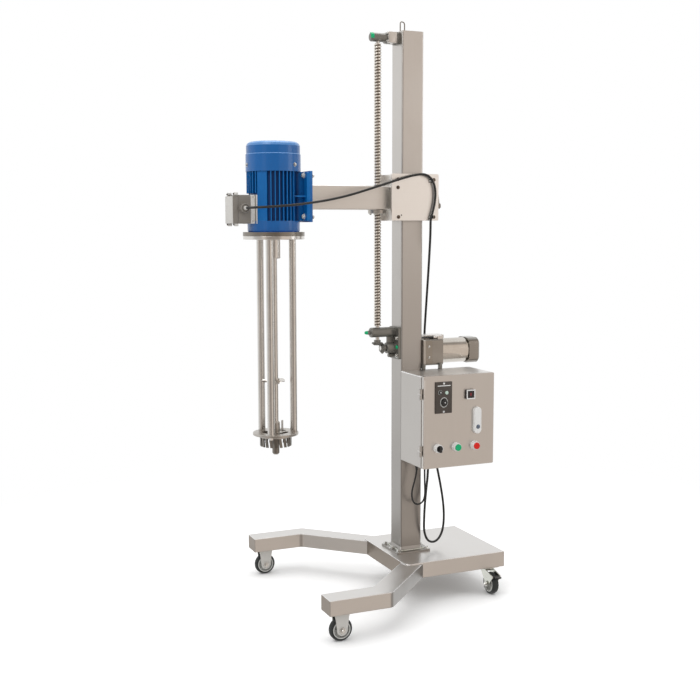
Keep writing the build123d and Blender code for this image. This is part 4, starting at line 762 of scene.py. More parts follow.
def thread_tree():
    """A rolled lead screw: a grid wrapped round an axis, its radius stepping with a helix."""
    sizes = {"Length": 0.9, "Radius": 0.0125, "Depth": 0.002, "Pitch": 0.01, "Crest": 0.4}
    tree, ins, outs = geometry_group("Rolled thread", {**sizes, "Around": 32, "Rows": 900})
    columns = calc(tree, "ADD", ins["Around"], 1.0)
    cells = {"Size X": 1.0, "Size Y": 1.0, "Vertices X": columns, "Vertices Y": ins["Rows"]}
    flat = put(tree, "GeometryNodeMeshGrid", cells)
    place = split(tree, put(tree, "GeometryNodeInputPosition"))
    across = calc(tree, "ADD", place[0], 0.5)
    along = calc(tree, "ADD", place[1], 0.5)
    height = calc(tree, "MULTIPLY", along, ins["Length"])
    turns = calc(tree, "SUBTRACT", calc(tree, "DIVIDE", height, ins["Pitch"]), across)
    phase = calc(tree, "FRACT", calc(tree, "ADD", turns, 2.0))
    off_middle = calc(tree, "MULTIPLY", calc(tree, "ABSOLUTE", calc(tree, "SUBTRACT", phase, 0.5)), 2.0)
    off_crest = calc(tree, "SUBTRACT", off_middle, ins["Crest"])
    flank = calc(tree, "DIVIDE", off_crest, FLANK_SHARE, use_clamp=True)
    cut = calc(tree, "SUBTRACT", ins["Radius"], calc(tree, "MULTIPLY", flank, ins["Depth"]))
    above_foot = calc(tree, "GREATER_THAN", along, END_GAP)
    below_top = calc(tree, "LESS_THAN", along, 1 - END_GAP)
    radius = calc(tree, "MULTIPLY", cut, calc(tree, "MULTIPLY", above_foot, below_top))
    angle = calc(tree, "MULTIPLY", across, 2 * math.pi)
    x = calc(tree, "MULTIPLY", radius, calc(tree, "COSINE", angle))
    y = calc(tree, "MULTIPLY", radius, calc(tree, "SINE", angle))
    wrapped = {"Geometry": flat, "Position": join_xyz(tree, x, y, height)}
    shaped = put(tree, "GeometryNodeSetPosition", wrapped)
    merged = put(tree, "GeometryNodeMergeByDistance", {"Geometry": shaped, "Distance": MERGE_DISTANCE})
    return close_tree(tree, ins, outs, merged)


BEAD_STEP_SHARE = 0.34
BEAD_SIDES = 10
PUDDLE_SCALE = 260.0


def bead_tree():
    """A weld bead: a round section along a path, with the ripples of the puddle."""
    tree, ins, outs = geometry_group("Weld bead", {"Width": 0.004, "Ripple": 0.0004, "Spacing": 0.0018})
    step = calc(tree, "MULTIPLY", ins["Spacing"], BEAD_STEP_SHARE)
    fine = put(tree, "GeometryNodeResampleCurve", {"Curve": ins["Geometry"], "Length": step}, mode="LENGTH")
    half = calc(tree, "MULTIPLY", ins["Width"], 0.5)
    ring = put(tree, "GeometryNodeCurvePrimitiveCircle", {"Resolution": BEAD_SIDES, "Radius": half})
    swept = put(tree, "GeometryNodeCurveToMesh", {"Curve": fine, "Profile Curve": ring, "Fill Caps": True})
    place = put(tree, "GeometryNodeInputPosition")
    total = vector_calc(tree, "DOT_PRODUCT", place, (1.0, 1.0, 1.0))
    turns = calc(tree, "DIVIDE", calc(tree, "MULTIPLY", total, 2 * math.pi), ins["Spacing"])
    wave = calc(tree, "SINE", turns)
    noise = put(tree, "ShaderNodeTexNoise", {"Vector": place, "Scale": PUDDLE_SCALE})
    lift = calc(tree, "MULTIPLY", calc(tree, "MULTIPLY_ADD", wave, 0.5, noise), ins["Ripple"])
    outward = {0: put(tree, "GeometryNodeInputNormal"), "Scale": lift}
    push = put(tree, "ShaderNodeVectorMath", outward, operation="SCALE")
    rippled = put(tree, "GeometryNodeSetPosition", {"Geometry": swept, "Offset": push})
    return close_tree(tree, ins, outs, rippled)


def ribs_tree():
    """Flat ribs laid out like spokes about the local Z axis."""
    sizes = {"Count": 8, "Inner": 0.008, "Outer": 0.022, "Thickness": 0.002, "Height": 0.02}
    tree, ins, outs = geometry_group("Hub ribs", sizes)
    length = calc(tree, "SUBTRACT", ins["Outer"], ins["Inner"])
    bar = put(tree, "GeometryNodeMeshCube", {"Size": join_xyz(tree, length, ins["Thickness"], ins["Height"])})
    rib = moved(tree, bar, x=calc(tree, "MULTIPLY_ADD", length, 0.5, ins["Inner"]))
    line = put(tree, "GeometryNodeMeshLine", {"Count": ins["Count"], "Offset": (0.0, 0.0, 0.0)})
    share = calc(tree, "DIVIDE", put(tree, "GeometryNodeInputIndex"), ins["Count"])
    turn = about_z(tree, calc(tree, "MULTIPLY", share, 2 * math.pi))
    return close_tree(tree, ins, outs, on_points(tree, line, rib, turn))


# Camera, light and floor

CAMERA_PLACE = (-1.6678, -3.3434, 1.2777)
CAMERA_TURN = 0.4101
CAMERA_DIP = 0.1133
CAMERA_ROLL = -0.0018
CAMERA_LENS = 55.57
SENSOR_WIDTH = 36.0
FAR_CLIP = 50.0
FLOOR_REACH = 12.0
FADE_START = 0.9
FADE_END = 2.2
# Reach and strength of the floor's painted shadow.
PAINTED_SHADOW_REACH = 0.3
PAINTED_SHADOW_POWER = 1.3
FRONT_WALL = (0.83, 0.74, 0.67)
FRONT_RANGE = (0.1, -0.75)

# Each light: its place, what it aims at, its diameter and its share of the key light's power.
LIGHTS = {
    "key light": ((-2.6, -1.6, 3.6), (-0.1, 0.0, 0.9), 2.2, 1.0),
    "top light": ((0.3, 0.6, 4.2), (0.0, 0.0, 0.5), 2.6, 0.9),
    "right light": ((3.2, -2.4, 2.0), (0.0, 0.0, 0.9), 1.8, 0.45),
}

# Each dark band of the room: its bearing in degrees, the cosine at its edge, and its depth.
DARK_BANDS = ((248, 0.87, 0.55), (331, 0.955, 0.5), (188, 0.94, 0.4))


class MIXER_OT_stage(bpy.types.Operator):
    """Add the camera, the floor and soft studio light"""

    bl_idname = "mixer.stage"
    bl_label = "Stage"

    def execute(self, context):
        stage = context.scene.mixer_stage
        data = bpy.data.cameras.new("camera")
        data.lens = CAMERA_LENS
        data.sensor_width = SENSOR_WIDTH
        data.clip_end = FAR_CLIP
        camera = bpy.data.objects.new("camera", data)
        look = Matrix.Rotation(-CAMERA_TURN, 4, "Z") @ Matrix.Rotation(math.pi / 2 - CAMERA_DIP, 4, "X")
        camera.matrix_world = Matrix.Translation(CAMERA_PLACE) @ look @ Matrix.Rotation(CAMERA_ROLL, 4, "Z")
        context.scene.collection.objects.link(camera)
        context.scene.camera = camera
        self.floor(stage)
        for name, (place, aim, size, share) in LIGHTS.items():
            self.lamp(context, name, place, aim, size, stage.key_power * share)
        self.room(context, stage.fill_strength)
        context.scene.view_settings.view_transform = "Standard"
        return {"FINISHED"}

    def floor(self, stage):
        """A pale floor that takes shadows and a painted shadow where nearby pieces occlude it, fades to white
        far off and isn't there for reflections.
        """
        material = bpy.data.materials.new("studio floor")
        material.use_nodes = True
        tree = material.node_tree
        tree.nodes.clear()
        rays = add_node(tree, "ShaderNodeLightPath").outputs
        pale = put(tree, "ShaderNodeBsdfDiffuse", {0: (*stage.floor_colour, 1.0)})
        # Painted shadow: the floor's lift fades where nearby pieces occlude it.
        occlusion = add_node(tree, "ShaderNodeAmbientOcclusion", {"Distance": PAINTED_SHADOW_REACH}, samples=8)
        unshadowed_share = calc(tree, "POWER", occlusion.outputs["AO"], PAINTED_SHADOW_POWER)
        seen = calc(tree, "MULTIPLY", rays["Is Camera Ray"], unshadowed_share)
        lift = put(tree, "ShaderNodeEmission", {"Strength": calc(tree, "MULTIPLY", seen, stage.floor_lift)})
        lifted = put(tree, "ShaderNodeAddShader", {0: pale, 1: lift})
        away = vector_calc(tree, "LENGTH", add_node(tree, "ShaderNodeTexCoord").outputs["Object"])
        distant = span(tree, away, FADE_START, FADE_END, interpolation_type="SMOOTHSTEP")
        fade = calc(tree, "MULTIPLY", distant, rays["Is Camera Ray"])
        white = put(tree, "ShaderNodeEmission", {"Strength": 1.0})
        faded = put(tree, "ShaderNodeMixShader", {0: fade, 1: lifted, 2: white})
        clear = put(tree, "ShaderNodeBsdfTransparent")
        shown = put(tree, "ShaderNodeMixShader", {0: rays["Is Glossy Ray"], 1: faded, 2: clear})
        add_node(tree, "ShaderNodeOutputMaterial", {0: shown})
        bm = bmesh.new()
        bmesh.ops.create_grid(bm, x_segments=2, y_segments=2, size=FLOOR_REACH)
        floor = close("floor", bm)
        floor.data.materials.append(material)
        return floor

    def lamp(self, context, name, place, aim, size, power):
        data = bpy.data.lights.new(name, "AREA")
        data.shape = "DISK"
        data.size = size
        data.energy = power
        lamp = bpy.data.objects.new(name, data)
        turn = (Vector(aim) - Vector(place)).to_track_quat("-Z", "Y")
        lamp.matrix_world = Matrix.Translation(place) @ turn.to_matrix().to_4x4()
        context.scene.collection.objects.link(lamp)
        return lamp

    def room(self, context, strength):
        """A white room. Metal sees it neutral behind, warm in front, and dark in three narrow bands."""
        world = bpy.data.worlds.new("studio")
        context.scene.world = world
        world.use_nodes = True
        tree = world.node_tree
        tree.nodes.clear()
        direction = add_node(tree, "ShaderNodeTexCoord").outputs["Generated"]
        level = vector_calc(tree, "NORMALIZE", vector_calc(tree, "MULTIPLY", direction, (1.0, 1.0, 0.0)))
        tint = mix_colour(tree, span(tree, split(tree, level)[1], *FRONT_RANGE), WHITE, FRONT_WALL)
        dark = 0.0
        for bearing, edge, depth in DARK_BANDS:
            aim = (math.cos(math.radians(bearing)), math.sin(math.radians(bearing)), 0.0)
            toward = vector_calc(tree, "DOT_PRODUCT", level, aim)
            dark = calc(tree, "MAXIMUM", span(tree, toward, edge, (1 + 3 * edge) / 4, 0.0, depth), dark)
        rays = add_node(tree, "ShaderNodeLightPath").outputs
        gloss = calc(tree, "MAXIMUM", rays["Is Glossy Ray"], rays["Is Transmission Ray"])
        light = mix_number(tree, gloss, strength, calc(tree, "SUBTRACT", 1.0, dark))
        seen = mix_number(tree, rays["Is Camera Ray"], light, 1.0)
        colour = mix_colour(tree, gloss, WHITE, tint)
        sky = put(tree, "ShaderNodeBackground", {"Color": colour, "Strength": seen})
        add_node(tree, "ShaderNodeOutputWorld", {0: sky})


# Cords. Each route is the list of points of the CAD cord it stands for.

UPPER_CABLE = (
    (-0.600, -0.066, 1.338), (-0.600, -0.104, 1.338), (-0.586, -0.138, 1.339), (-0.558, -0.152, 1.340),
    (-0.518, -0.150, 1.343), (-0.462, -0.138, 1.347), (-0.404, -0.120, 1.354), (-0.346, -0.106, 1.362),
    (-0.288, -0.096, 1.373), (-0.230, -0.088, 1.387), (-0.172, -0.082, 1.404), (-0.114, -0.077, 1.421),
    (-0.058, -0.073, 1.438), (-0.004, -0.071, 1.452), (0.036, -0.070, 1.455), (0.063, -0.070, 1.434),
    (0.073, -0.070, 1.398), (0.070, -0.070, 1.360), (0.062, -0.070, 1.328), (0.054, -0.070, 1.304),
    (0.054, -0.070, 1.290),
)
HANGING_CABLE = (
    (0.054, -0.070, 1.290), (0.054, -0.070, 1.260), (0.058, -0.058, 1.210), (0.068, -0.032, 1.145),
    (0.080, 0.000, 1.070), (0.090, 0.030, 0.985), (0.097, 0.053, 0.905), (0.100, 0.062, 0.825),
    (0.104, 0.062, 0.745), (0.112, 0.056, 0.665), (0.122, 0.047, 0.595), (0.130, 0.038, 0.540),
    (0.134, 0.034, 0.504), (0.134, 0.034, 0.478),
)
SLACK_LOOP = (
    (0.134, 0.034, 0.478), (0.134, 0.034, 0.450), (0.140, 0.022, 0.400), (0.145, 0.006, 0.340),
    (0.146, -0.008, 0.290), (0.142, -0.020, 0.246), (0.134, -0.028, 0.206), (0.114, -0.037, 0.177),
    (0.086, -0.046, 0.168), (0.057, -0.055, 0.181), (0.040, -0.062, 0.217), (0.037, -0.068, 0.262),
    (0.037, -0.073, 0.315), (0.041, -0.076, 0.376), (0.046, -0.078, 0.425), (0.046, -0.078, 0.459),
)
SHORT_LOOP = (
    (0.000, -0.082, 0.459), (0.000, -0.082, 0.436), (-0.008, -0.081, 0.404), (-0.016, -0.079, 0.375),
    (-0.016, -0.077, 0.350), (-0.008, -0.074, 0.330), (0.006, -0.071, 0.320), (0.023, -0.068, 0.320),
    (0.037, -0.065, 0.330), (0.044, -0.061, 0.350), (0.045, -0.057, 0.380), (0.046, -0.053, 0.414),
    (0.046, -0.053, 0.459),
)
GEARMOTOR_LEAD = ((0.088, -0.029, 0.896), (0.064, -0.029, 0.896), (0.040, -0.029, 0.896))


class MIXER_OT_cords(bpy.types.Operator):
    """Lay the motor cable, the short loop and the gearmotor's lead along their routes"""

    bl_idname = "mixer.cords"
    bl_label = "Cords"

    def execute(self, context):
        sizes = context.scene.mixer_cords
        thick = sizes.motor_cable
        # Each cord: its node, route, diameter, length and body, and how it leaves its glands by route end.
        plans = (
            ("motor_cable_upper", UPPER_CABLE, thick, 0.897, "carriage", {0: NEAR}),
            ("motor_cable_loop", SLACK_LOOP, thick, 0.661, "stand", {-1: DOWN}),
            ("small_cable_loop", SHORT_LOOP, sizes.small_cable, 0.314, "stand", {0: DOWN, -1: DOWN}),
            ("gearmotor_lead", GEARMOTOR_LEAD, sizes.lead, 0.048, "stand", {0: LEFT}),
        )
        for node, route, diameter, _, body, glands in plans:
            [
                self.sleeve(f"{node}_sleeve_{number}", route[end], axis, diameter, sizes.relief_length, body)
                for number, (end, axis) in enumerate(glands.items())
            ]
        for node, route, diameter, length, body, _ in plans:
            curve = self.spline(f"{node}_piece", route, diameter)
            curve.data.materials.append(finishes["cable_black"])
            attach(curve, body)
            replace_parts(curve, node)
        self.hanging(thick)
        return {"FINISHED"}

    def spline(self, name, route, diameter):
        curve, line = line_through(name, "NURBS", route)
        line.order_u = 3
        line.use_endpoint_u = True
        line.resolution_u = 10
        curve.data.bevel_depth = diameter / 2
        curve.data.bevel_resolution = 5
        curve.data.use_fill_caps = True
        return curve

    def hanging(self, diameter):
        """The stretch that hangs from the carriage to the slack loop, laid as one fixed tube."""
        bare = self.spline("hanging line", HANGING_CABLE, 0.0)
        full = self.spline("hanging tube", HANGING_CABLE, diameter)
        line = settle(bare)
        bpy.data.objects.remove(line)
        tube = settle(full)
        tube.name = "motor_cable_drop_piece"
        tube.data.materials.clear()
        tube.data.materials.append(finishes["cable_black"])
        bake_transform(tube)
        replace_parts(tube, "motor_cable_drop")

    def sleeve(self, name, place, axis, diameter, length, body):
        """A tapered rubber sleeve where a cord enters its gland."""
        bore = diameter / 2 + 0.0001
        profile = [
            (bore, -0.001), (bore + 0.0024, -0.001), (bore + 0.0024, 0.001), (bore + 0.0016, length * 0.5),
            (bore + 0.0007, length), (bore, length), (bore, -0.001),
        ]
        look = "box_light" if body == "carriage" else "black_plastic"
        return turned(name, profile, place, axis, 24, look, body)


# Finishes of the CAD nodes that stay visible

NODE_FINISHES = {
    "base_sheet": ("base_frame",),
    "box_sheet": ("control_box",),
    "sheet_along_z": ("box_door",),
    "column_sheet": ("column",),
    "plate_white": ("carriage_frame",),
    "plate_light": ("lift_arm", "gearmotor_terminal_box"),
    "plate_dull": ("head_plate", "screw_nut", "gearmotor_bracket"),
    "turned_bright": (
        "support_rods", "mixing_shaft", "propeller", "mixer_flange", "shaft_coupling", "drive_shaft",
        "motor_bearings", "motor_rotor",
    ),
    "cage_in_painted_shade": ("stator_cage", "shear_rotor"),
    "cast_bright": ("gearhead",),
    "barrel_bright": ("gearmotor_body",),
    "zinc": ("caster_mounts", "swivel_fork_near", "swivel_fork_far"),
    "flange_steel": ("top_wire_hoop",),
    "bronze": ("screw_bearings",),
    "blue_paint": ("motor_end_shield", "fan_cover"),
    "blue_fins": ("motor_frame",),
    "winding": ("motor_stator",),
    "cast_dark": ("upper_bearing_arm", "lower_bearing_bracket", "screw_bevel_gear", "drive_bevel_gear"),
    "black_plastic": (
        "guide_pads", "cable_glands", "cooling_fan", "brake_pedal_near", "brake_pedal_far", "speed_dial",
        "selector_knob",
    ),
    "white_plastic": ("door_handle",),
    "device_grey": ("box_inside_panel",),
    "green": ("green_button",),
    "red": ("red_button",),
    "lever_grey": ("clamp_lever",),
    "box_grey": ("terminal_box",),
}


class MIXER_OT_finishes(bpy.types.Operator):
    """Make the finishes and put one on each CAD node that stays visible"""

    bl_idname = "mixer.finishes"
    bl_label = "Finishes"

    def execute(self, context):
        colours = context.scene.mixer_colours
        finishes.update(**metals(colours), **coverings(colours))
        for look, names in NODE_FINISHES.items():
            for name in names:
                mesh = nodes[name].data
                mesh.materials.clear()
                mesh.materials.append(finishes[look])
        return {"FINISHED"}


# Outlines that more than one turned piece uses, as (radius, height) points


def ring_outline(inner, outer, start, end):
    return [(inner, start), (outer, start), (outer, end), (inner, end), (inner, start)]


def mirrored(side):
    """A closed outline from its lower half."""
    return [*side, *((radius, -height) for radius, height in reversed(side)), side[0]]


THREAD_FOOT = 0.940
THREAD_TOP = 1.884
THREAD_SIDES = 28
ROWS_PER_METRE = 1000
JOURNAL_RADIUS = 0.007
JOURNAL_OVERLAP = 0.004
JOURNAL_BEVEL = 0.0006


class MIXER_OT_lead_screw(bpy.types.Operator):
    """Cut the rolled thread of the lead screw and turn its journals"""

    bl_idname = "mixer.lead_screw"
    bl_label = "Lead screw"

    def execute(self, context):
        sizes = context.scene.mixer_screw
        low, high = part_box("lead_screw")
        centre = (low + high) / 2
        length = THREAD_TOP - THREAD_FOOT
        values = {
            "Length": length,
            "Radius": (high.x - low.x) / 2,
            "Depth": sizes.depth,
            "Pitch": sizes.pitch,
            "Crest": sizes.crest,
            "Around": THREAD_SIDES,
            "Rows": int(length * ROWS_PER_METRE),
            "Material": finishes["thread_steel"],
        }
        thread = grown("lead_screw_thread", thread_tree(), values)
        thread.data.transform(Matrix.Translation((centre.x, centre.y, THREAD_FOOT)))
        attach(thread, "screw")
        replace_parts(thread, "lead_screw")
        bm = bmesh.new()
        for start, end in ((low.z, THREAD_FOOT + JOURNAL_OVERLAP), (THREAD_TOP - JOURNAL_OVERLAP, high.z)):
            profile = [
                (0, start), (JOURNAL_RADIUS - JOURNAL_BEVEL, start), (JOURNAL_RADIUS, start + JOURNAL_BEVEL),
                (JOURNAL_RADIUS, end - JOURNAL_BEVEL), (0, end),
            ]
            add_turned(bm, profile, (centre.x, centre.y, 0), segments=32)
        close("lead_screw_journals", bm, "turned_bright", "screw")
        return {"FINISHED"}


WEB_HALF = 0.0035
HUB_BORE = 0.0042
HUB_RADIUS = 0.0085
HUB_FACE_RADIUS = 0.0078
RIB_START = 0.008
RIB_THICKNESS = 0.0018
CHEEK_TOP = 0.0908
CHEEK_HALF_TOP = 0.024
CHEEK_HALF_FOOT = 0.0175
CHEEK_INSIDE = 0.0142
CHEEK_OUTSIDE = 0.0172
CHEEK_STEPS = 16


class MIXER_OT_wheels(bpy.types.Operator):
    """Mould the four caster wheels, a rubber tyre on a ribbed hub, and add the fixed forks' wide cheeks"""

    bl_idname = "mixer.wheels"
    bl_label = "Caster wheels"

    def execute(self, context):
        sizes = context.scene.mixer_wheels
        ribs = ribs_tree()
        for end in ("front", "rear"):
            for side in ("near", "far"):
                node = f"{end}_wheel_{side}"
                low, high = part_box(node)
                self.wheel(node, f"wheel_{end}_{side}", low, high, sizes, ribs)
                if end == "front":
                    self.cheeks(f"front_fork_cheeks_{side}", (low + high) / 2)
        return {"FINISHED"}

    def cheeks(self, name, centre):
        """The two wide sheet cheeks of a fixed fork, rounded under the axle."""
        outline = [(CHEEK_HALF_TOP, CHEEK_TOP), (-CHEEK_HALF_TOP, CHEEK_TOP)]
        for step in range(CHEEK_STEPS + 1):
            angle = math.pi * (1 + step / CHEEK_STEPS)
            outline.append((CHEEK_HALF_FOOT * math.cos(angle), centre.z + CHEEK_HALF_FOOT * math.sin(angle)))
        bm = bmesh.new()
        for faces in ((-CHEEK_OUTSIDE, -CHEEK_INSIDE), (CHEEK_INSIDE, CHEEK_OUTSIDE)):
            near, far = ([bm.verts.new((centre.x + x, centre.y + y, z)) for x, z in outline] for y in faces)
            bm.faces.new(near)
            bm.faces.new(far)
            for k in range(len(outline)):
                after = (k + 1) % len(outline)
                bm.faces.new((near[k], near[after], far[after], far[k]))
        close(name, bm, "box_light", "stand")

    def wheel(self, node, body, low, high, sizes, ribs):
        centre = (low + high) / 2
        axis = RIGHT if high.x - low.x < high.y - low.y else FAR
        radius = (high.z - low.z) / 2
        half = min(high.x - low.x, high.y - low.y) / 2
        rim = radius - sizes.tread
        tyre = mirrored([
            (rim, -half + 0.001), (rim + 0.001, -half), (radius - 0.006, -half),
            (radius - 0.003, -half + 0.0012), (radius - 0.001, -half + 0.0045), (radius, -half * 0.35),
        ])
        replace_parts(turned(f"{node}_tyre", tyre, centre, axis, 72, "tyre", body), node)
        hub = mirrored([
            (HUB_BORE, -half - 0.0005), (HUB_FACE_RADIUS, -half - 0.0005), (HUB_RADIUS, -half + 0.0005),
            (HUB_RADIUS, -WEB_HALF), (rim - 0.0035, -WEB_HALF), (rim - 0.003, -half + 0.0012),
            (rim - 0.0002, -half + 0.0012),
        ])
        turned(f"{node}_hub", hub, centre, axis, 64, "wheel_grey", body)
        bm = bmesh.new()
        for start, end in ((-half - 0.0004, -half + 0.0014), (half - 0.0014, half + 0.0004)):
            add_turned(bm, ring_outline(rim - 0.003, rim - 0.0003, start, end), centre, axis, 64)
        close(f"{node}_lips", bm, "lip_white", body)
        values = {
            "Count": sizes.spokes,
            "Inner": RIB_START,
            "Outer": rim - 0.003,
            "Thickness": RIB_THICKNESS,
            "Height": 2 * half - 0.006,
            "Material": finishes["wheel_grey"],
        }
        spokes = grown(f"{node}_ribs", ribs, values)
        spokes.data.transform(axis_frame(centre, axis))
        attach(spokes, body)


AXLE_HEIGHT = 0.0375
DOOR_FRONT = -0.2043
GEARHEAD_SCREW_X = 0.065
COVER_SCREW_HEIGHT = 1.476
NUT_SCREW_CIRCLE = 0.0255
HEIGHT_SHARE = 0.5
WASHER_SHARE = 1.45
WASHER_HEIGHT_SHARE = 0.1


def grid(xs, ys, zs):
    return [(x, y, z) for x in xs for y in ys for z in zs]


def lug_places():
    """Where the four corner lugs of the terminal lid stand."""
    low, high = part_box("terminal_lid")
    return grid((high.x - 0.013,), (-0.034, 0.034), (low.z + 0.0055, high.z - 0.0055))


class MIXER_OT_fasteners(bpy.types.Operator):
    """Set the screws, bolts and nuts that hold the pieces together"""

    bl_idname = "mixer.fasteners"
    bl_label = "Fasteners"

    def execute(self, context):
        sizes = context.scene.mixer_fasteners
        hexes = heads_tree(HEX_SIDES, False)
        caps = heads_tree(ROUND_SIDES, True)
        domes = heads_tree(ROUND_SIDES, False)
        big = sizes.hex_width
        small = sizes.cap_width
        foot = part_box("column")[0].z + 0.006
        left_edge, near_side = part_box("carriage_frame")[0].xy
        far_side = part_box("carriage_frame")[1].y
        arm_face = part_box("lift_arm")[0].x
        head_near, head_far = (corner.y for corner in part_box("gearhead"))
        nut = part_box("screw_nut")[0].z
        quarters = [math.radians(45 + 90 * k) for k in range(4)]
        nut_screws = [
            (SCREW_X + NUT_SCREW_CIRCLE * math.cos(a), NUT_SCREW_CIRCLE * math.sin(a), nut) for a in quarters
        ]
        edge_screws = grid((left_edge,), (-0.047, 0.047), (1.433,))
        edge_screws += grid((left_edge,), (-0.027, 0.027), (1.383,))
        # Each set: its name, body, tree, head width, direction, finish and places.
        sets = (
            ("column_foot_bolts", "stand", hexes, big, UP, "screw_zinc",
             grid((-0.054, 0.054), (-0.054, -0.002, 0.054), (foot,))),
            ("carriage_bolts_near", "carriage", caps, small, NEAR, "bolt_dark", self.plate_holes(near_side)),
            ("carriage_bolts_far", "carriage", caps, small, FAR, "bolt_dark", self.plate_holes(far_side)),
            ("carriage_edge_bolts", "carriage", caps, 0.006, LEFT, "screw_zinc", edge_screws),
            # The steel dome heads take the white wheel-lip finish: a painted highlight.
            ("motor_foot_bolts", "carriage", domes, 0.0135, LEFT, "lip_white",
             grid((arm_face - 0.010,), (-0.048, 0.048), (1.312, 1.444))),
            ("motor_plate_nuts", "carriage", hexes, 0.012, RIGHT, "screw_zinc",
             grid((arm_face + 0.0095,), (-0.067, 0.067), (1.310, 1.442))),
            ("terminal_lid_screws", "carriage", caps, 0.005, LEFT, "bolt_dark", lug_places()),
            ("terminal_flange_screws", "carriage", domes, 0.004, NEAR, "screw_zinc",
             grid((-0.568,), (-0.0404,), (1.2965, 1.3725))),
            ("lower_bracket_bolts", "stand", domes, 0.012, LEFT, "screw_zinc",
             grid((-0.049,), (-0.024, 0.024), (0.839, 0.898))),
            ("upper_arm_bolts", "stand", caps, 0.008, LEFT, "screw_zinc",
             grid((-0.081,), (-0.014, 0.014), (1.8925, 1.9175))),
            ("gearhead_screws_near", "stand", caps, 0.0065, NEAR, "screw_zinc",
             grid((GEARHEAD_SCREW_X,), (head_near,), (0.828, 0.866))),
            ("gearhead_screws_far", "stand", caps, 0.0065, FAR, "screw_zinc",
             grid((GEARHEAD_SCREW_X,), (head_far,), (0.828, 0.866))),
            ("bracket_bolts", "stand", hexes, 0.012, RIGHT, "screw_zinc",
             grid((0.048,), (-0.036, 0.036), (0.7985,))),
            ("panel_screws", "door", caps, 0.005, NEAR, "white_plastic",
             grid((0.0355,), (DOOR_FRONT - 0.004,), (0.6655, 0.7605))),
            ("caster_nuts_near", "stand", hexes, 0.013, NEAR, "screw_zinc",
             grid((-0.405,), (-0.380, 0.340), (AXLE_HEIGHT,))),
            ("caster_nuts_far", "stand", hexes, 0.013, FAR, "screw_zinc",
             grid((-0.405,), (-0.340, 0.380), (AXLE_HEIGHT,))),
            ("swivel_nuts_near", "swivel_near", hexes, 0.013, RIGHT, "screw_zinc",
             [(0.268, -0.172, AXLE_HEIGHT)]),
            ("swivel_nuts_near_left", "swivel_near", hexes, 0.013, LEFT, "screw_zinc",
             [(0.228, -0.172, AXLE_HEIGHT)]),
            ("swivel_nuts_far", "swivel_far", hexes, 0.013, NEAR, "screw_zinc",
             [(0.272, 0.128, AXLE_HEIGHT)]),
            ("swivel_nuts_far_back", "swivel_far", hexes, 0.013, FAR, "screw_zinc",
             [(0.272, 0.168, AXLE_HEIGHT)]),
            ("nut_flange_screws", "carriage", caps, 0.008, DOWN, "zinc", nut_screws),
        )
        for name, body, tree, width, axis, look, places in sets:
            aimed = [(place, axis) for place in places]
            self.heads(name, body, tree, width, aimed, look, sizes.seed)
        around = self.cover_screws()
        self.heads("fan_cover_screws", "carriage", domes, 0.009, around, "screw_zinc", sizes.seed)
        return {"FINISHED"}

    def plate_holes(self, y):
        left = [(-0.065, y, 1.436), (-0.065, y, 1.409), (-0.063, y, 1.311)]
        return left + [(0.070, y, 1.436), (0.070, y, 1.311)]

    def cover_screws(self):
        """Three screws that point outwards, evenly round the fan cover."""
        low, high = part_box("fan_cover")
        middle = (low + high) / 2
        screws = []
        for step in range(3):
            angle = math.radians(-59 + 120 * step)
            out = Vector((math.cos(angle), math.sin(angle), 0))
            place = Vector((middle.x, middle.y, COVER_SCREW_HEIGHT)) + out * ((high.x - low.x) / 2)
            screws.append((tuple(place), tuple(out)))
        return screws

    def heads(self, name, body, tree, width, places, look, seed):
        mesh = bpy.data.meshes.new(name)
        mesh.from_pydata([place for place, _ in places], [], [])
        facing = mesh.attributes.new("facing", "FLOAT_VECTOR", "POINT")
        facing.data.foreach_set("vector", [value for _, axis in places for value in axis])
        values = {
            "Head width": width,
            "Head height": width * HEIGHT_SHARE,
            "Washer width": width * WASHER_SHARE,
            "Washer height": width * WASHER_HEIGHT_SHARE,
            "Seed": seed,
            "Material": finishes[look],
        }
        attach(with_tree(show(name, mesh), tree, values), body)


PAINT = 0.0003


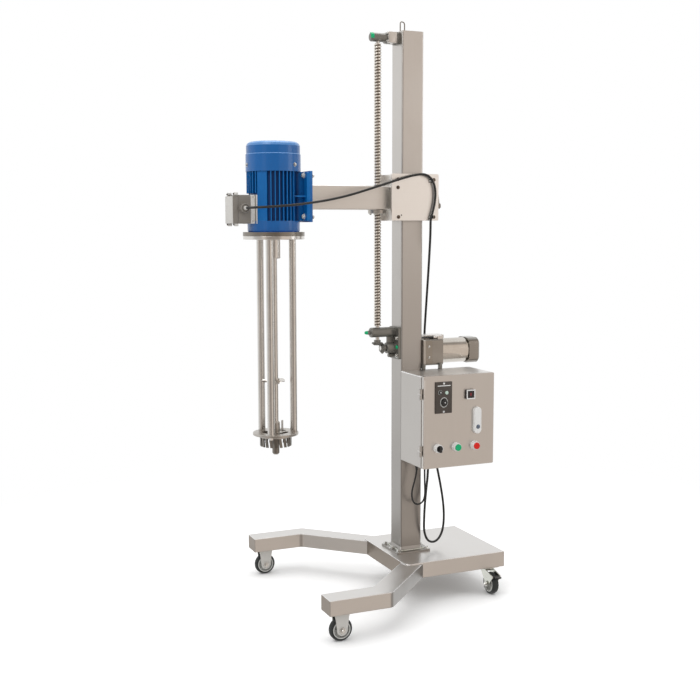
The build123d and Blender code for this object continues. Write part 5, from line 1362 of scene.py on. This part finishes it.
class MIXER_OT_motor_trim(bpy.types.Operator):
    """Add the rings, covers, lid and clips of the motor, its box, the cage and the carriage, and dark discs
    of painted hole shade
    """

    bl_idname = "mixer.motor_trim"
    bl_label = "Motor and carriage trim"

    def execute(self, context):
        self.clip("cable_clip_top", 0.057, -0.062, 1.432)
        self.clip("cable_clip_bottom", 0.058, -0.062, 1.311)
        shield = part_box("motor_end_shield")
        foot = shield[0].z
        self.ring("motor_flange_ring", shield, 0.004, foot - PAINT, foot + 0.0122, "flange_steel")
        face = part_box("lift_arm")[0].x
        plate_low = (face - PAINT, -0.0752, 1.2938)
        plate_high = (face + 0.0092, 0.0752, 1.4572)
        block("motor_plate_paint", plate_low, plate_high, 0.0008, "blue_paint", "carriage")
        self.terminal_trim()
        self.holes()
        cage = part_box("stator_cage")
        top = cage[1].z
        self.ring("cage_rim", cage, 0.002, top - 0.0075, top - 0.0004, "plate_dull")
        return {"FINISHED"}

    def ring(self, name, box, wall, low, high, look):
        """A thin ring over the edge of a round node, bevelled at its lower corner."""
        centre = ((box[0].x + box[1].x) / 2, (box[0].y + box[1].y) / 2, 0)
        radius = (box[1].x - box[0].x) / 2
        inner, outer = radius - wall, radius + PAINT
        lower = [(inner, low), (radius, low), (outer, low + PAINT)]
        outline = [*lower, (outer, high), (inner, high), (inner, low)]
        turned(name, outline, centre, UP, 96, look, "carriage")

    def terminal_trim(self):
        """The lid with its four lugs and a pale sheet painted as light on its left face, the flange behind
        the box, and the gland's cover.
        """
        low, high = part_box("terminal_lid")
        lid_low, lid_high = (low.x + 0.0004, low.y, 1.289), (high.x, high.y, 1.3765)
        lid = block("terminal_lid_cast", lid_low, lid_high, 0.002, "box_grey", "carriage")
        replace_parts(lid, "terminal_lid")
        lugs = bmesh.new()
        lug = [(0, 0.0), (0.0048, 0.0), (0.0055, 0.0007), (0.0055, 0.013), (0, 0.013)]
        for place in lug_places():
            add_turned(lugs, lug, place, RIGHT, 24)
        close("terminal_lid_lugs", lugs, "box_light", "carriage")
        # A pale sheet on the lid's left face, where the key light falls: painted light.
        face_low = (low.x, low.y + 0.0008, 1.2898)
        face_high = (low.x + 0.001, high.y - 0.0008, 1.3757)
        sheets = (
            ("terminal_lid_face", face_low, face_high, 0.0004, "box_light"),
            ("terminal_flange", (-0.575, -0.0404, 1.2886), (-0.5605, 0.0404, 1.3804), 0.001, "box_light"),
            ("terminal_gasket", (-0.5605, -0.0394, 1.2896), (-0.5575, 0.0394, 1.3794), 0.0003, "box_grey"),
            ("terminal_seat", (-0.5575, -0.0465, 1.2886), (-0.5515, 0.0465, 1.3804), 0.0008, "box_light"),
        )
        for sheet in sheets:
            block(*sheet, "carriage")
        cover = [
            (0.0118, -0.023), (0.0143, -0.023), (0.0143, -0.013), (0.0125, -0.0125), (0.0125, -0.010),
            (0.0143, -0.0095), (0.0143, -0.002), (0.0130, -0.0004), (0.0118, -0.0004), (0.0118, -0.023),
        ]
        turned("terminal_gland_cover", cover, UPPER_CABLE[0], NEAR, 40, "box_grey", "carriage")

    def holes(self):
        """Dark discs beside the plate's bolts: painted shade standing in for tapped holes."""
        bm = bmesh.new()
        mouth = [(0, -0.001), (0.0024, -0.001), (0.0024, 0.0001), (0, 0.0001)]
        for corner, axis in zip(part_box("carriage_frame"), (NEAR, FAR)):
            for x, z in ((-0.053, 1.441), (-0.052, 1.317)):
                add_turned(bm, mouth, (x, corner.y, z), axis, 20)
        close("carriage_hole_shade", bm, "tyre", "carriage")

    def clip(self, name, x, y, z):
        """A P-shaped clip on the plate, and the light tie that holds the cable to it."""
        bm = bmesh.new()
        add_block(bm, (x - 0.007, y - 0.0022, z - 0.006), (x + 0.007, y + 0.0002, z + 0.006), 0.0006)
        add_block(bm, (x + 0.004, y - 0.0135, z - 0.0045), (x + 0.0062, y, z + 0.0045), 0.0006)
        close(name, bm, "cast_dark", "carriage")
        tie_low = (x - 0.006, y - 0.0032, z - 0.0015)
        tie_high = (x + 0.0055, y - 0.0018, z + 0.0015)
        block(f"{name}_tie", tie_low, tie_high, 0.0004, "white_plastic", "carriage")


BARREL_MARK_RADIUS = 0.0152
BARREL_MARK_WALL = 0.96
UPPER_BARREL_HEIGHT = 1.904
LOWER_BARREL_HEIGHT = 0.919


class MIXER_OT_drive_trim(bpy.types.Operator):
    """Add the green plugs and mark, the cleat of the upper bearing arm and the gearmotor's legs"""

    bl_idname = "mixer.drive_trim"
    bl_label = "Drive trim"

    def execute(self, context):
        nose = [(0, 0.0), (0.0062, 0.0), (0.0062, 0.004), (0.005, 0.0085), (0.0028, 0.0105), (0, 0.011)]
        nose_place = (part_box("lower_bearing_bracket")[0].x + 0.002, 0, LOWER_BARREL_HEIGHT)
        turned("lower_nose_plug", nose, nose_place, LEFT, 32, "green", "stand")
        dot = [(0, -0.001), (0.0062, -0.001), (0.0062, 0.0025), (0.005, 0.004), (0, 0.0044)]
        turned("lower_plate_plug", dot, (-0.049, -0.0265, 0.868), LEFT, 32, "green", "stand")
        self.barrel_mark()
        cleat_low, cleat_high = (-0.081, -0.0204, 1.887), (-0.0495, 0.0204, 1.923)
        block("upper_arm_cleat", cleat_low, cleat_high, 0.0008, "plate_light", "stand")
        bm = bmesh.new()
        for start, end in ((0.038, 0.046), (0.102, 0.112)):
            add_block(bm, (start, -0.054, 0.7872), (end, -0.040, 0.8072), 0.0006)
        close("gearmotor_legs", bm, "cast_dark", "stand")
        return {"FINISHED"}

    def barrel_mark(self):
        """A thin green band round part of the upper barrel's end."""
        radius = BARREL_MARK_RADIUS
        turns = [math.radians(a) for a in range(100, 201, 5)]
        arc = [(radius * math.cos(turn), radius * math.sin(turn)) for turn in turns]
        bm = bmesh.new()
        # Four edges along the band: outer left, outer right, inner right and inner left.
        edges = [
            [bm.verts.new((x, y * share, UPPER_BARREL_HEIGHT + z * share)) for y, z in arc]
            for x, share in ((-0.143, 1), (-0.130, 1), (-0.130, BARREL_MARK_WALL), (-0.143, BARREL_MARK_WALL))
        ]
        for first, second in zip(edges, edges[1:] + edges[:1]):
            for k in range(len(arc) - 1):
                bm.faces.new((first[k], first[k + 1], second[k + 1], second[k]))
        for k in (0, -1):
            bm.faces.new([edge[k] for edge in edges])
        close("upper_barrel_mark", bm, "green", "stand")


PANEL_FRONT = DOOR_FRONT - 0.004
BUTTON_HEIGHT = 0.543
LOCK_HEIGHT = 0.607


class MIXER_OT_door_trim(bpy.types.Operator):
    """Dress the cabinet door: control plate, framed display, bezels, dial ring and handle lock"""

    bl_idname = "mixer.door_trim"
    bl_label = "Door trim"

    def execute(self, context):
        self.control_plate()
        self.display()
        self.bezels()
        low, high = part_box("door_handle")
        lock = [(0, -0.002), (0.0072, -0.002), (0.0072, 0.0008), (0.0062, 0.0014), (0, 0.0014)]
        lock_place = ((low.x + high.x) / 2, low.y, LOCK_HEIGHT)
        turned("handle_lock", lock, lock_place, NEAR, 32, "lock_grey", "handle")
        return {"FINISHED"}

    def control_plate(self):
        """The dark plate with its bar, switch and lamp, the dial's oval ring, and the door's rim strip."""
        front = DOOR_FRONT
        low, high = (0.004, PANEL_FRONT, 0.660), (0.067, front, 0.766)
        plate = block("control_plate", low, high, 0.0012, "panel_dark", "door")
        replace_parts(plate, "door_fittings")
        bar_low, bar_high = (0.012, front - 0.0046, 0.7515), (0.060, front - 0.0038, 0.7545)
        block("plate_light_bar", bar_low, bar_high, 0.0003, "white_plastic", "door")
        switch = [(0, -0.001), (0.0065, -0.001), (0.0065, 0.003), (0.0055, 0.004), (0, 0.004)]
        pin = [(0, 0), (0.002, 0), (0.002, 0.0012), (0.001, 0.0018), (0, 0.0018)]
        lens = [(0, -0.001), (0.006, -0.001), (0.006, 0.0015), (0.004, 0.003), (0, 0.0036)]
        rim = ring_outline(0.0066, 0.0078, -0.001, 0.0006)
        for name, profile, place, segments, look in (
            ("plate_switch", switch, (0.0215, PANEL_FRONT, 0.731), 32, "black_plastic"),
            ("plate_switch_pin", pin, (0.0215, front - 0.008, 0.731), 16, "white_plastic"),
            ("plate_lamp", lens, (0.046, PANEL_FRONT, 0.729), 32, "lamp_pale"),
            ("plate_switch_ring", rim, (0.0215, PANEL_FRONT, 0.731), 40, "wheel_grey"),
        ):
            turned(name, profile, place, NEAR, segments, look, "door")
        ring = ring_outline(0.0120, 0.0145, -0.001, 0.0008)
        oval = turned("dial_ring", ring, (0, 0, 0), NEAR, 48, "wheel_grey")
        taller = Matrix.Diagonal((1.0, 1.0, 1.2, 1.0))
        oval.data.transform(Matrix.Translation((0.036, PANEL_FRONT, 0.697)) @ taller)
        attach(oval, "door")
        strip_low, strip_high = (-0.037, front - 0.0006, 0.487), (-0.0335, front, 0.775)
        block("door_rim_strip", strip_low, strip_high, 0.0002, "plate_light", "door")
        turned("dial_mark", pin, (0.036, front - 0.0119, 0.697), NEAR, 16, "white_plastic", "dial")

    def display(self):
        """A dark case with a white frame in front, a dark pane, and a dim bare lit bar."""
        low = Vector((0.1195, DOOR_FRONT - 0.010, 0.7025))
        high = Vector((0.1525, DOOR_FRONT, 0.7345))
        rim = 0.0038
        face = low.y + 0.0016
        bm = bmesh.new()
        for x_low, z_low, x_high, z_high in (
            (low.x, low.z, high.x, low.z + rim),
            (low.x, high.z - rim, high.x, high.z),
            (low.x, low.z + rim, low.x + rim, high.z - rim),
            (high.x - rim, low.z + rim, high.x, high.z - rim),
        ):
            add_block(bm, (x_low, low.y, z_low), (x_high, face, z_high), 0.0004)
        close("display_frame", bm, "white_plastic", "door")
        case_low = (low.x + 0.0004, face - 0.0003, low.z + 0.0004)
        case_high = (high.x - 0.0004, high.y, high.z - 0.0004)
        block("display_case", case_low, case_high, 0.0004, "window", "door")
        centre = (low + high) / 2
        lit_low = (centre.x - 0.0028, face - 0.0006, centre.z - 0.005)
        lit_high = (centre.x + 0.0028, face, centre.z + 0.005)
        block("display_lit_bar", lit_low, lit_high, 0.0002, "red_light", "door")

    def bezels(self):
        outer = 0.015
        height = 0.018
        cap = 0.0113
        profile = [
            (0.005, -0.002), (0.008, -0.002), (0.008, 0.0), (outer, 0.0), (outer, 0.004),
            (outer - 0.0008, 0.0048), (outer - 0.0008, height - 0.003), (outer - 0.0018, height - 0.0004),
            (outer - 0.0026, height), (cap, height), (cap, 0.003), (0.005, 0.003), (0.005, -0.002),
        ]
        for name, x in (("selector", 0.0145), ("green", 0.084), ("red", 0.155)):
            place = (x, DOOR_FRONT, BUTTON_HEIGHT)
            turned(f"{name}_bezel", profile, place, NEAR, 48, "white_plastic", "door")


FOOT_WELD_HALF = 0.0475
FOOT_WELD_HEIGHT = 0.1535
ARM_WELD_X = -0.0605
ARM_WELD_HALF = 0.0305
ARM_WELD_LOW = 1.3348
ARM_WELD_HIGH = 1.4152
RIPPLE_SHARE = 0.12
SPACING_SHARE = 0.45


class MIXER_OT_welds(bpy.types.Operator):
    """Lay the weld beads of the column foot and the arm"""

    bl_idname = "mixer.welds"
    bl_label = "Welds"

    def execute(self, context):
        tree = bead_tree()
        half, z = FOOT_WELD_HALF, FOOT_WELD_HEIGHT
        foot = [(-half, -half, z), (half, -half, z), (half, half, z), (-half, half, z), (-half, -half, z)]
        self.bead("column_foot_weld", foot, "stand", tree, 0.005)
        x, y, low, high = ARM_WELD_X, ARM_WELD_HALF, ARM_WELD_LOW, ARM_WELD_HIGH
        end = [(x, -y, low), (x, -y, high), (x, y, high), (x, y, low), (x, -y, low)]
        self.bead("arm_weld", end, "carriage", tree, 0.004)
        return {"FINISHED"}

    def bead(self, name, route, body, tree, width):
        curve, _ = line_through(name, "POLY", route)
        values = {
            "Width": width,
            "Ripple": width * RIPPLE_SHARE,
            "Spacing": width * SPACING_SHARE,
            "Material": finishes["zinc"],
        }
        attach(with_tree(curve, tree, values), body)


class MIXER_PT_panel(bpy.types.Panel):
    """The mixer's sizes, colours and pieces"""

    bl_idname = "MIXER_PT_panel"
    bl_label = "High shear mixer"
    bl_space_type = "VIEW_3D"
    bl_region_type = "UI"
    bl_category = "Mixer"

    def draw(self, context):
        layout = self.layout
        for title, (label, _) in SETTINGS.items():
            box = layout.box()
            settings = getattr(context.scene, title)
            box.label(text=label)
            for key in settings.bl_rna.properties.keys():
                if key not in ("rna_type", "name"):
                    box.prop(settings, key)
        for operator in OPERATORS:
            layout.operator(operator.bl_idname)


SETTINGS = {
    "mixer_stage": ("Stage", StageSettings),
    "mixer_colours": ("Colours", ColourSettings),
    "mixer_cords": ("Cords", CordSettings),
    "mixer_screw": ("Lead screw", ScrewSettings),
    "mixer_fasteners": ("Fasteners", FastenerSettings),
    "mixer_wheels": ("Wheels", WheelSettings),
}
OPERATORS = (
    MIXER_OT_stage,
    MIXER_OT_finishes,
    MIXER_OT_cords,
    MIXER_OT_lead_screw,
    MIXER_OT_wheels,
    MIXER_OT_fasteners,
    MIXER_OT_motor_trim,
    MIXER_OT_drive_trim,
    MIXER_OT_door_trim,
    MIXER_OT_welds,
)


def register():
    for _, group in SETTINGS.values():
        bpy.utils.register_class(group)
    for title, (_, group) in SETTINGS.items():
        setattr(bpy.types.Scene, title, bpy.props.PointerProperty(type=group))
    for operator in OPERATORS:
        bpy.utils.register_class(operator)
    bpy.utils.register_class(MIXER_PT_panel)


def unregister():
    bpy.utils.unregister_class(MIXER_PT_panel)
    for operator in reversed(OPERATORS):
        bpy.utils.unregister_class(operator)
    for title, (_, group) in SETTINGS.items():
        delattr(bpy.types.Scene, title)
        bpy.utils.unregister_class(group)


def main():
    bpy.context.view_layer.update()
    register()
    bpy.ops.mixer.stage()
    bpy.ops.mixer.finishes()
    bpy.ops.mixer.cords()
    bpy.ops.mixer.lead_screw()
    bpy.ops.mixer.wheels()
    bpy.ops.mixer.fasteners()
    bpy.ops.mixer.motor_trim()
    bpy.ops.mixer.drive_trim()
    bpy.ops.mixer.door_trim()
    bpy.ops.mixer.welds()


if __name__ == "__main__":
    main()
